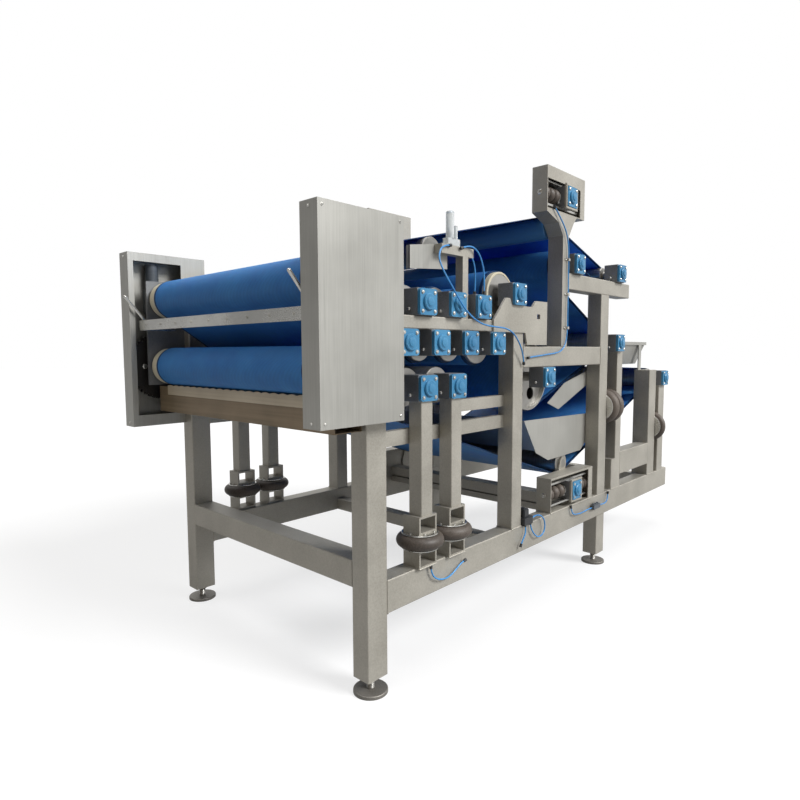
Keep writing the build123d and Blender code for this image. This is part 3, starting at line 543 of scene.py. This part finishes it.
# %% Unit bolts and shaft ends
UNIT_BOLT = 0.008
BOLT_INSET = 0.017
FLANGE_BACK = 0.012  # from the unit's boss back to the flange that takes the bolts
CAP_RADIUS = 0.021
CAP = [(-0.002, CAP_RADIUS), (0.004, CAP_RADIUS), (0.005, CAP_RADIUS - 0.003)]
CAP_SEAT = [(0.0, CAP_RADIUS + 0.005), (0.0015, CAP_RADIUS + 0.005)]
units = solids("bearing_units")
unit_bolts = bmesh.new()
shaft_ends = bmesh.new()
for low, high in units:
    side = -1 if low.y < 0 else 1
    outer = low.y if side < 0 else high.y
    middle = (low + high) / 2
    for x in (low.x + BOLT_INSET, high.x - BOLT_INSET):
        for z in (low.z + BOLT_INSET, high.z - BOLT_INSET):
            bolt(unit_bolts, (x, outer - side * FLANGE_BACK, z), (0, side, 0), UNIT_BOLT)
    for outline in (CAP, CAP_SEAT):
        lathe(shaft_ends, (middle.x, outer, middle.z), (0, side, 0), outline)
settle("unit_bolts", unit_bolts, bright_steel)
settle("shaft_ends", shaft_ends, blue_enamel)
print("bearing units:", len(units))

# %% [markdown]
# ## Screws that hold the housings
#
# Each bearing housing is held at both ends by a low screw whose hexagon head looks along the
# machine. Only the heads can be seen, so no thread is made. One loop serves every housing, and
# the height of a screw is counted from its own housing's foot.

# %% Housing screws
LUG_RADIUS = 0.009
LUG_HEAD = [(0.0, LUG_RADIUS), (0.006, LUG_RADIUS), (0.010, LUG_RADIUS * 0.6)]
LUG_HEIGHT = 0.03
housing_feet = bmesh.new()
for low, high in solids("bearing_housings"):
    middle_y = (low.y + high.y) / 2
    for x, out in ((low.x, -1), (high.x, 1)):
        lathe(housing_feet, (x, middle_y, low.z + LUG_HEIGHT), (out, 0, 0), LUG_HEAD, HEXAGON)
settle("housing_feet", housing_feet, bright_steel)

# %% [markdown]
# ## Weld beads
#
# The frame is welded all round each joint, and a hand-laid bead shows as a row of small scales.
# Sculpting each scale would take long, so a bead is turned from an outline whose radius rises
# over 5 mm and falls over the next 5 mm. Real scales are about 3 mm long: these are drawn
# longer, so that they show.

# %% Weld beads
BEAD = 0.0045
SCALE_RISE = 0.005
SCALE_HIGH, SCALE_LOW = 1.15, 0.8
ON_RAIL = 0.004  # a post whose foot is this close to the rail's top stands on it
weld_beads = bmesh.new()


def bead(mesh, start, end):
    """A weld bead between two points, with its scales."""
    start, end = Vector(start), Vector(end)
    run = end - start
    count = max(4, int(run.length / SCALE_RISE))
    outline = [(run.length * i / count, BEAD * (SCALE_HIGH if i % 2 else SCALE_LOW))
               for i in range(count + 1)]
    lathe(mesh, start, run.normalized(), outline, HEXAGON)


def weld_round(mesh, low, high, z):
    """A bead round the foot of an upright tube, at height z."""
    corners = [(low.x, low.y), (high.x, low.y), (high.x, high.y), (low.x, high.y)]
    for i in range(4):
        first, second = corners[i], corners[(i + 1) % 4]
        bead(mesh, (*first, z), (*second, z))


rail_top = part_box("base_rails")[1].z
for name in ("middle_columns", "feed_frame", "push_brackets", "tracking_frames"):
    for low, high in solids(name):
        if abs(low.z - rail_top) < ON_RAIL:
            weld_round(weld_beads, low, high, rail_top)
for name in ("side_rails", "base_rails", "middle_beams"):
    for low, high in solids(name):
        for x in (low.x, high.x):
            # a bead at the machine's very end would stand out past it
            if abs(x - cad_box[1].x) < BEAD:
                continue
            for y in (low.y, high.y):
                bead(weld_beads, (x, y, low.z), (x, y, high.z))
settle("weld_beads", weld_beads, ground_tube)

# %% [markdown]
# ## Screws on the covers
#
# The covers of the drive end are folded sheet held by dome-headed screws near their edges. A
# flattened ball would do for the dome, but an outline of falling radius, turned round the
# screw's axis, gives its washer and its recess as well.

# %% Cover screws
SCREW = 0.005
SCREW_INSET = 0.022
cover_screws = bmesh.new()


def dome_screw(mesh, centre, axis, radius):
    """A dome-headed screw with its washer and recess; radius is that of the dome."""
    outline = [(0.0, radius * 1.25), (0.0012, radius * 1.25), (0.0014, radius),
               (0.004, radius * 0.8), (0.0055, radius * 0.35), (0.004, radius * 0.3)]
    lathe(mesh, centre, axis, outline, SMALL_ROUND)


for name, side in (("near_cover", -1), ("far_cover", 1)):
    low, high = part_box(name)
    outer = low.y if side < 0 else high.y
    for x in (low.x + SCREW_INSET, high.x - SCREW_INSET):
        for z in (low.z + SCREW_INSET, high.z - SCREW_INSET):
            dome_screw(cover_screws, (x, outer, z), (0, side, 0), SCREW)
    for z in (low.z + SCREW_INSET, high.z - SCREW_INSET):
        dome_screw(cover_screws, (low.x, (low.y + high.y) / 2, z), (-1, 0, 0), SCREW)
settle("cover_screws", cover_screws, bright_steel)

# %% [markdown]
# ## Bolts of the drive gear
#
# The big gear is held by a ring of six bolts, which show through the window of the far cover.
# The bolt from before serves again at twice the size, and a loop places it round the gear's own
# middle.

# %% Gear bolts
GEAR_BOLT = 0.016
GEAR_BOLTS = 6
BOLT_RING = 0.105
BEHIND_HUB = 0.012  # from the hub's face to the back of the washers
gear_low, gear_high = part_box("drive_gear")
gear_middle = (gear_low + gear_high) / 2
gear_bolts = bmesh.new()
for i in range(GEAR_BOLTS):
    angle = 2 * pi * i / GEAR_BOLTS
    x = gear_middle.x + BOLT_RING * cos(angle)
    z = gear_middle.z + BOLT_RING * sin(angle)
    bolt(gear_bolts, (x, gear_low.y + BEHIND_HUB, z), (0, -1, 0), GEAR_BOLT)
settle("gear_bolts", gear_bolts, bright_steel)

# %% [markdown]
# ## Bolts of the scraper
#
# A steel bar across the drive end carries the scraper, which peels the pressed cake off the
# belt. Bolts about 160 mm apart clamp it all along. Placing each by hand would be slow to
# change, so their number follows from the bar's length and that spacing.

# %% Scraper bolts
SCRAPER_FACE_X = -0.262 - MIDDLE_X
SCRAPER_LOW, SCRAPER_HIGH = 1.625, 1.680
SCRAPER_HALF = 0.66
SCRAPER_BOLT = 0.007
BOLT_PITCH = 0.16
scraper_bolts = bmesh.new()
scraper_z = (SCRAPER_LOW + SCRAPER_HIGH) / 2
spaces = int(2 * SCRAPER_HALF / BOLT_PITCH)
for i in range(spaces + 1):
    y = -SCRAPER_HALF + 2 * SCRAPER_HALF * i / spaces
    bolt(scraper_bolts, (SCRAPER_FACE_X, y, scraper_z), (-1, 0, 0), SCRAPER_BOLT)
settle("scraper_bolts", scraper_bolts, bright_steel)

# %% [markdown]
# ## The scalloped lip of the discharge tray
#
# Along the tray's front edge runs a strip whose top is cut in shallow arcs, so that the cake
# breaks into pieces as it falls. The arcs are one sine formula, repeated along the strip, which
# is quicker to write and to change than twenty arcs drawn by hand.

# %% Scalloped lip
LIP_HALF = 0.66
LIP_ARC = 0.066
LIP_RISE = 0.006
LIP_ABOVE = 0.004  # from the tray's top up to where the arcs start
LIP_DEPTH = 0.045
LIP_THICK = 0.004
LIP_STEPS = 120
tray_low, tray_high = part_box("discharge_tray")
scalloped_lip = bmesh.new()
top = []
base = []
for i in range(LIP_STEPS + 1):
    y = -LIP_HALF + 2 * LIP_HALF * i / LIP_STEPS
    rise = LIP_RISE * abs(sin(pi * (y + LIP_HALF) / LIP_ARC))
    top.append((y, tray_high.z + LIP_ABOVE + rise))
    base.append((y, tray_high.z - LIP_DEPTH))
outline = top + list(reversed(base))
lip_x = tray_low.x - LIP_THICK
front = [scalloped_lip.verts.new((lip_x, y, z)) for y, z in outline]
back = [scalloped_lip.verts.new((lip_x + LIP_THICK, y, z)) for y, z in outline]
count = len(outline)
for i in range(LIP_STEPS):
    j = count - 1 - i
    scalloped_lip.faces.new((front[i], front[i + 1], front[j - 1], front[j]))
    scalloped_lip.faces.new((back[i], back[j], back[j - 1], back[i + 1]))
for i in range(count):
    j = (i + 1) % count
    scalloped_lip.faces.new((front[i], back[i], back[j], front[j]))
settle("scalloped_lip", scalloped_lip, cream_plastic)

# %% [markdown]
# ## Bright discs of the air springs
#
# An air spring is closed at each end by a steel disc with a middle nut and, on the large
# springs, a ring of small screws. Some springs stand and some lie. A disc's axis is the short
# side of its own box, so one loop finds it and fits them all.

# %% Spring discs
SPRING_SCREWS = 6
SCREW_RING = 0.75  # the ring's radius as a share of the disc's
LARGE_DISC = 0.06  # discs of a larger radius have the ring of screws
DISC_NUT = [(0.0, 0.016), (0.006, 0.016), (0.008, 0.012)]
spring_discs = bmesh.new()
for low, high in solids("air_spring_plates"):
    size = high - low
    short = min(range(3), key=lambda i: size[i])
    middle = (low + high) / 2
    radius = sorted(size)[1] / 2
    for way in (-1, 1):
        axis = Vector((0, 0, 0))
        axis[short] = way
        face = middle + axis * size[short] / 2
        lathe(spring_discs, face, axis, DISC_NUT, HEXAGON)
        turn = axis.to_track_quat("Z", "Y")
        for i in range(SPRING_SCREWS if radius > LARGE_DISC else 0):
            angle = 2 * pi * i / SPRING_SCREWS
            spoke = turn @ Vector((cos(angle), sin(angle), 0.0))
            dome_screw(spring_discs, face + spoke * radius * SCREW_RING, axis, SCREW)
settle("spring_discs", spring_discs, bright_steel)

# %% [markdown]
# ## Threads of the levelling feet
#
# Each foot turns on a thread so that the machine can be levelled. A true thread is a spiral,
# but rings look the same from here and can be turned from an outline. Its radius rises over
# 3 mm and falls over the next 3 mm: the real pitch is about 3 mm, drawn coarser to show.

# %% Foot threads
RIDGE_RISE = 0.003
RIDGE = 0.0015
STEM = 0.0165
ABOVE_SOLE, BELOW_TOP = 0.018, 0.016
THREAD_STEPS = 20
foot_threads = bmesh.new()
for low, high in solids("levelling_feet"):
    middle = (low + high) / 2
    z_from, z_to = low.z + ABOVE_SOLE, high.z - BELOW_TOP
    count = max(2, int((z_to - z_from) / RIDGE_RISE))
    ridges = [(i * RIDGE_RISE, STEM + (RIDGE if i % 2 else 0.0)) for i in range(count)]
    lathe(foot_threads, (middle.x, middle.y, z_from), (0, 0, 1), ridges, THREAD_STEPS)
settle("foot_threads", foot_threads, turned_steel)

# %% [markdown]
# ## The guard
#
# A small sheet guard beside the idler roller keeps the wash water in. A flat sheet would
# rattle, so one edge is folded inwards, and that fold is seen as a bright line. The sheet is
# cut from its outline, and the fold is a second, narrow plate along its upright edge.

# %% Guard
SHEET = 0.004
GUARD_Y = -0.737
GUARD_FOLD = 0.020
GUARD = [(-1.275, 1.880), (-1.000, 1.902), (-1.000, 2.006), (-1.045, 2.018), (-1.275, 1.985)]
guard_plate = bmesh.new()
plate(guard_plate, GUARD, GUARD_Y, GUARD_Y + SHEET)
fold_x, fold_low = GUARD[0]
fold_high = GUARD[-1][1]
fold = [(fold_x, fold_low), (fold_x + SHEET, fold_low), (fold_x + SHEET, fold_high),
        (fold_x, fold_high)]
plate(guard_plate, fold, GUARD_Y, GUARD_Y + GUARD_FOLD)
settle("guard_plate", guard_plate, brushed_sheet)

# %% [markdown]
# ## The deflectors
#
# Behind the screen drum a flat plate at each side leads the juice towards the tray. It is sheet
# cut from an outline too, with no fold. Its corners are in the millimetres of the drawing.

# %% Deflectors
DEFLECTOR_FACE = 0.695  # from the machine's middle to the plates' outer faces
DEFLECTOR = [(1680, 1174), (1825, 1124), (2250, 1276), (2218, 1362), (1900, 1292)]
deflectors = bmesh.new()
deflector_outline = [(x * MM - MIDDLE_X, z * MM) for x, z in DEFLECTOR]
for y in (-DEFLECTOR_FACE, DEFLECTOR_FACE - SHEET):
    plate(deflectors, deflector_outline, y, y + SHEET)
settle("deflectors", deflectors, brushed_sheet)

# %% [markdown]
# ## Air hoses
#
# Blue polyurethane hose, 8 mm thick, carries the air between the service unit, the valve block,
# the manifold and the fittings on the frame. Such a hose is stiff enough to hold wide curves. A
# mesh tube would need every bend shaped by hand, so each hose is a round section along a spline
# that a few points lead.

# %% Hose helper
HOSE = 0.008


def hose(name, route):
    """One air hose along a route, which goes back into the machine at its far end."""
    line = bpy.data.curves.new(name, "CURVE")
    line.dimensions = "3D"
    spline = line.splines.new("NURBS")
    spline.points.add(len(route) - 1)
    for point, place in zip(spline.points, route):
        point.co = (*place, 1.0)
    spline.order_u = 3
    spline.use_endpoint_u = True
    spline.resolution_u = 12
    piece = bpy.data.objects.new(name, line)
    bpy.context.scene.collection.objects.link(piece)
    bpy.context.view_layer.update()
    path = bpy.data.meshes.new_from_object(piece)
    bpy.data.meshes.remove(path)
    line.bevel_depth = HOSE / 2
    line.bevel_resolution = 4
    line.use_fill_caps = True
    line.materials.append(hose_blue)
    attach(piece, "root")
    pieces.append(piece)


# %% [markdown]
# The routes follow the photograph. Each leaves its fitting in the fitting's own line, hangs or
# bends as the real hose does, and stands clear of the bolt heads that it passes.

# %% Hose routes
SUPPLY = [(-1.050, -0.790, 2.004), (-1.085, -0.795, 2.000), (-1.130, -0.800, 1.978),
          (-1.152, -0.808, 1.930), (-1.136, -0.825, 1.870), (-1.095, -0.845, 1.800),
          (-1.048, -0.853, 1.738), (-0.992, -0.856, 1.688), (-0.930, -0.857, 1.655),
          (-0.860, -0.856, 1.634), (-0.760, -0.854, 1.626), (-0.665, -0.852, 1.624),
          (-0.585, -0.846, 1.606), (-0.520, -0.838, 1.570), (-0.462, -0.828, 1.520),
          (-0.425, -0.818, 1.470), (-0.410, -0.812, 1.440)]
PRESS = [(-0.950, -0.790, 2.004), (-0.915, -0.792, 2.016), (-0.872, -0.796, 2.018),
         (-0.834, -0.802, 1.996), (-0.812, -0.809, 1.952), (-0.803, -0.815, 1.900),
         (-0.803, -0.818, 1.845), (-0.8045, -0.818, 1.798)]
SECOND = [(-0.930, -0.772, 1.990), (-0.896, -0.773, 1.992), (-0.862, -0.776, 1.980),
          (-0.838, -0.779, 1.945), (-0.828, -0.780, 1.895), (-0.826, -0.778, 1.845),
          (-0.826, -0.775, 1.799)]
RAIL = [(-1.212, -0.812, 0.486), (-1.208, -0.814, 0.456), (-1.182, -0.815, 0.426),
        (-1.142, -0.815, 0.408), (-1.098, -0.815, 0.402), (-1.056, -0.815, 0.409),
        (-1.018, -0.815, 0.428), (-0.985, -0.815, 0.446), (-0.955, -0.815, 0.452)]
VALVE_LOOP = [(-0.282, -0.800, 0.524), (-0.248, -0.802, 0.534), (-0.204, -0.810, 0.530),
              (-0.166, -0.816, 0.503), (-0.150, -0.817, 0.455), (-0.165, -0.817, 0.416),
              (-0.205, -0.817, 0.400), (-0.250, -0.817, 0.410), (-0.284, -0.816, 0.437),
              (-0.301, -0.811, 0.467), (-0.305, -0.806, 0.498)]
COLUMN = [(-0.360, -0.806, 0.498), (-0.362, -0.811, 0.472), (-0.377, -0.814, 0.446),
          (-0.398, -0.814, 0.424), (-0.414, -0.813, 0.400)]
TOWER = [(-0.075, -0.806, 2.345), (-0.032, -0.809, 2.308), (0.026, -0.809, 2.262),
         (0.073, -0.808, 2.212), (0.097, -0.807, 2.145), (0.105, -0.806, 2.060),
         (0.104, -0.806, 1.955), (0.106, -0.806, 1.850), (0.104, -0.806, 1.740),
         (0.105, -0.806, 1.645), (0.096, -0.806, 1.578), (0.068, -0.806, 1.526),
         (0.020, -0.806, 1.500), (-0.045, -0.806, 1.489), (-0.130, -0.806, 1.484),
         (-0.215, -0.806, 1.476), (-0.290, -0.806, 1.472), (-0.345, -0.806, 1.466)]
RUN = [(0.200, -0.806, 0.492), (0.202, -0.810, 0.465), (0.224, -0.813, 0.444),
       (0.270, -0.813, 0.436), (0.340, -0.813, 0.431), (0.425, -0.813, 0.436),
       (0.494, -0.812, 0.434)]
RUN_ON = [(0.606, -0.812, 0.434), (0.656, -0.813, 0.428), (0.706, -0.813, 0.430),
          (0.740, -0.812, 0.448), (0.752, -0.808, 0.488)]
ROUTES = {"hose_supply": SUPPLY, "hose_tower": TOWER, "hose_run": RUN, "hose_run_on": RUN_ON,
           "hose_press": PRESS, "hose_second": SECOND, "hose_rail": RAIL,
           "hose_valve_loop": VALVE_LOOP, "hose_column": COLUMN}
for name, route in ROUTES.items():
    hose(name, route)

# %% [markdown]
# ## Fittings
#
# Each hose ends in a push-in fitting: a hexagon to turn it with and a release ring that the
# hose goes through. Both are round an axis, so both are turned, and they point the way the hose
# leaves, which the last two points of its route give.

# %% Push-in fittings
NUT_BACK, RING_BACK = 0.014, 0.002  # how far behind the hose's end each one starts
RELEASE_NUT = [(0.0, 0.0085), (0.012, 0.0085)]
RELEASE_RING = [(0.0, 0.0075), (0.006, 0.0075), (0.008, 0.006)]
push_in = bmesh.new()
for route in ROUTES.values():
    for end, inner in ((route[0], route[1]), (route[-1], route[-2])):
        way = (Vector(inner) - Vector(end)).normalized()
        lathe(push_in, Vector(end) - way * NUT_BACK, way, RELEASE_NUT, HEXAGON)
        lathe(push_in, Vector(end) - way * RING_BACK, way, RELEASE_RING, SMALL_ROUND)
settle("push_in_fittings", push_in, fitting_black)

# %% [markdown]
# ## The valve block
#
# A valve on the base rail lets the air on or holds it. It is a black moulded body with a raised
# coil and a nut on top. At this size two bars with broken edges and one turned hexagon are
# enough.

# %% Valve block
VALVE_BODY = ((-0.385, -0.816, 0.500), (-0.290, -0.742, 0.545))
VALVE_COIL = ((-0.372, -0.806, 0.545), (-0.318, -0.752, 0.592))
COIL_NUT_PLACE = (-0.345, -0.779, 0.590)
COIL_NUT = [(0, 0.014), (0.008, 0.014), (0.010, 0.01)]
BODY_EDGE, COIL_EDGE = 0.003, 0.005
valve_block = bmesh.new()
bar(valve_block, *VALVE_BODY, BODY_EDGE)
bar(valve_block, *VALVE_COIL, COIL_EDGE)
lathe(valve_block, COIL_NUT_PLACE, (0, 0, 1), COIL_NUT, HEXAGON)
settle("valve_block", valve_block, fitting_black)

# %% [markdown]
# ## The manifold
#
# A small block on the base rail passes the air from one hose to the next. It is a painted bar
# with three screwed plugs on top, and a loop sets the plugs where its bores are.

# %% Manifold
MANIFOLD = ((0.500, -0.824, 0.418), (0.600, -0.794, 0.450))
PLUGS_X = (0.522, 0.550, 0.578)
PLUG_Y, PLUG_Z = -0.809, 0.448
PLUG = [(0, 0.009), (0.009, 0.009), (0.011, 0.006)]
manifold = bmesh.new()
bar(manifold, *MANIFOLD, BODY_EDGE)
for x in PLUGS_X:
    lathe(manifold, (x, PLUG_Y, PLUG_Z), (0, 0, 1), PLUG, HEXAGON)
settle("manifold", manifold, motor_paint)

# %% [markdown]
# ## Hose clips
#
# Clips hold the long hose flat against the tower. A clip is a strip bent over the hose and
# screwed down beside it. Its section is three short bars: one over the hose, one on the tower
# and the step between them. The loop gives all three the clip's height.

# %% Hose clips
CLIP_HEIGHTS = (2.060, 1.850, 1.645)
CLIP_HALF = 0.008
CLIP_EDGE = 0.0006
CLIP_SCREW = 0.004
CLIP_SCREW_PLACE = (0.084, -0.7975)
CLIP_BARS = [((0.096, -0.8125), (0.115, -0.8105)),
             ((0.074, -0.7975), (0.099, -0.7948)),
             ((0.0965, -0.8115), (0.0985, -0.7955))]
hose_clips = bmesh.new()
for z in CLIP_HEIGHTS:
    for low, high in CLIP_BARS:
        bar(hose_clips, (*low, z - CLIP_HALF), (*high, z + CLIP_HALF), CLIP_EDGE)
    dome_screw(hose_clips, (*CLIP_SCREW_PLACE, z), (0, -1, 0), CLIP_SCREW)
settle("hose_clips", hose_clips, bright_steel)

# %% [markdown]
# ## Jaws of the belt trackers
#
# The block that steers each belt slides between two rails in its frame, held in a square steel
# jaw. A plate with a square hole would need a cut, so the jaw is four bars with broken edges
# round the blue unit, one set on each side. Its place comes from the unit's own solid.

# %% Tracker jaws
JAW_WIDTH = 0.014
JAW_GAP = 0.001
JAW_FRONT, JAW_BACK = 0.8215, 0.8075  # how far its faces lie from the machine's middle
TRACKERS = (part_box("tracking_heads"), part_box("tracking_frames"))
tracker_jaws = bmesh.new()


def jaw(mesh, low, high, side):
    """Four bars round one unit, flush with the front of the tracking frame."""
    left, right = low.x - JAW_GAP, high.x + JAW_GAP
    bottom, top = low.z - JAW_GAP, high.z + JAW_GAP
    y_low, y_high = sorted((side * JAW_FRONT, side * JAW_BACK))
    bar(mesh, (left - JAW_WIDTH, y_low, bottom), (left, y_high, top))
    bar(mesh, (right, y_low, bottom), (right + JAW_WIDTH, y_high, top))
    for z in (bottom - JAW_WIDTH, top):
        bar(mesh, (left - JAW_WIDTH, y_low, z), (right + JAW_WIDTH, y_high, z + JAW_WIDTH))


for low, high in units:
    side = -1 if low.y < 0 else 1
    for box_low, box_high in TRACKERS:
        if box_low.x < low.x < box_high.x and box_low.z < low.z < box_high.z:
            jaw(tracker_jaws, low, high, side)
settle("tracker_jaws", tracker_jaws, ground_tube)

# %% [markdown]
# ## The floor
#
# The photograph has a plain white ground. Light strong enough to turn a real floor white would
# burn out the steel too. So the floor is a pale diffuse disc that keeps the machine's shadow,
# wide enough that its rim is never in the picture.

# %% Floor
FLOOR_RADIUS = 60.0
FLOOR_DROP = 0.001
floor_mesh = bmesh.new()
bmesh.ops.create_circle(floor_mesh, cap_ends=True, radius=FLOOR_RADIUS, segments=64)
floor_data = bpy.data.meshes.new("studio_floor")
floor_mesh.to_mesh(floor_data)
floor_mesh.free()
studio_floor = bpy.data.objects.new("studio_floor", floor_data)
studio_floor.location.z = -FLOOR_DROP
bpy.context.scene.collection.objects.link(studio_floor)
print("floor radius in metres:", FLOOR_RADIUS)

# %% [markdown]
# The floor's paint adds a little light of its own, which only the camera and, weaker, the steel
# see. So the ground comes out white in the picture, and no more light falls on the machine.

# %% Floor paint
FLOOR_LIFT = 0.68  # what the floor adds for the camera to come out white
MIRRORED_FLOOR = 0.35  # the share of that which polished steel mirrors
floor_paint = bpy.data.materials.new("pale_floor_paint")
floor_paint.use_nodes = True
floor_shader = floor_paint.node_tree.nodes["Principled BSDF"]
floor_shader.inputs["Base Color"].default_value = linear("#9C9C9C")
floor_shader.inputs["Roughness"].default_value = 0.9
floor_shader.inputs["Specular IOR Level"].default_value = 0.0
rays = add_node(floor_paint, "ShaderNodeLightPath")
mirrored = add_node(floor_paint, "ShaderNodeMath", {"operation": "MULTIPLY", 1: MIRRORED_FLOOR},
                    {0: rays.outputs["Is Glossy Ray"]})
seen = add_node(floor_paint, "ShaderNodeMath", {"operation": "MAXIMUM"},
                {0: rays.outputs["Is Camera Ray"], 1: mirrored.outputs[0]})
lift = add_node(floor_paint, "ShaderNodeMath", {"operation": "MULTIPLY", 1: FLOOR_LIFT},
                {0: seen.outputs[0]})
floor_shader.inputs["Emission Color"].default_value = linear("#FFFFFF")
floor_paint.node_tree.links.new(lift.outputs[0], floor_shader.inputs["Emission Strength"])
floor_data.materials.append(floor_paint)
print("light that the floor adds:", FLOOR_LIFT)

# %% [markdown]
# ## The world
#
# The world is white where the camera looks. For reflections it is white too, except towards the
# drive end, because the steel faces that look that way are dark in the photograph. The light
# that it sheds on the machine is a low, even fill. A painted sky could do all this, but the ray
# kinds keep what is seen, what is mirrored and what lights the steel apart.

# %% World
DIM_SIDE, BRIGHT_SIDE = 0.05, 0.95
DIM_FROM, BRIGHT_FROM = -0.9, 0.1  # the X of a direction where each of them begins
FILL = 0.11
world = bpy.data.worlds.new("white_studio")
world.use_nodes = True
bpy.context.scene.world = world
sky = world.node_tree.nodes["Background"]
toward = add_node(world, "ShaderNodeTexCoord")
split = add_node(world, "ShaderNodeSeparateXYZ", None, {0: toward.outputs["Generated"]})
mirror_level = add_node(world, "ShaderNodeMapRange",
                        {"From Min": DIM_FROM, "From Max": BRIGHT_FROM, "To Min": DIM_SIDE,
                         "To Max": BRIGHT_SIDE}, {"Value": split.outputs["X"]})
path = add_node(world, "ShaderNodeLightPath")
seen_white = add_node(world, "ShaderNodeMath", {"operation": "MAXIMUM"},
                      {0: path.outputs["Is Camera Ray"], 1: path.outputs["Is Transmission Ray"]})
glossy = add_node(world, "ShaderNodeMath", {"operation": "MULTIPLY"},
                  {0: path.outputs["Is Glossy Ray"], 1: mirror_level.outputs["Result"]})
brightest = add_node(world, "ShaderNodeMath", {"operation": "MAXIMUM"},
                     {0: seen_white.outputs[0], 1: glossy.outputs[0]})
level = add_node(world, "ShaderNodeMath", {"operation": "MAXIMUM", 1: FILL},
                 {0: brightest.outputs[0]})
world.node_tree.links.new(level.outputs[0], sky.inputs["Strength"])
sky.inputs["Color"].default_value = linear("#FFFFFF")
print("fill from the world:", FILL)

# %% [markdown]
# ## Lamps
#
# The light in the photograph comes from the near side and from above, soft as from large
# windows. An area lamp would light the near end of so long a machine more than the far end, so
# suns are used: their light is the same everywhere, and a wide angle makes it soft. A weak warm
# one from the drive end keeps the faces that look that way from going black.

# %% Lamps


def lamp(name, toward_light, strength, spread, colour):
    """A soft sun: toward_light points from the machine to the light."""
    data = bpy.data.lights.new(name, "SUN")
    data.energy = strength
    data.color = linear(colour)[:3]
    data.angle = radians(spread)
    light = bpy.data.objects.new(name, data)
    light.rotation_euler = Vector(toward_light).to_track_quat("Z", "Y").to_euler()
    bpy.context.scene.collection.objects.link(light)
    print("lamp:", name, strength)


lamp("near_side_light", (0.30, -1.0, 0.75), 3.5, 25, "#FFFFFF")
lamp("roof_light", (-0.25, 0.1, 1.0), 1.5, 50, "#FFFFFF")
lamp("drive_end_fill", (-1.0, -0.3, 0.35), 0.10, 60, "#FFD09A")

# %% [markdown]
# ## Picture settings
#
# The Standard view shows a colour about as it was written. A film-like view would turn the
# white ground grey.

# %% Picture settings
bpy.context.scene.view_settings.view_transform = "Standard"
print("view:", bpy.context.scene.view_settings.view_transform)

# %% [markdown]
# ## The end
#
# The scene is brought up to date and the number of added pieces is printed.

# %% Finish
bpy.context.view_layer.update()


print("pieces added:", len(pieces))
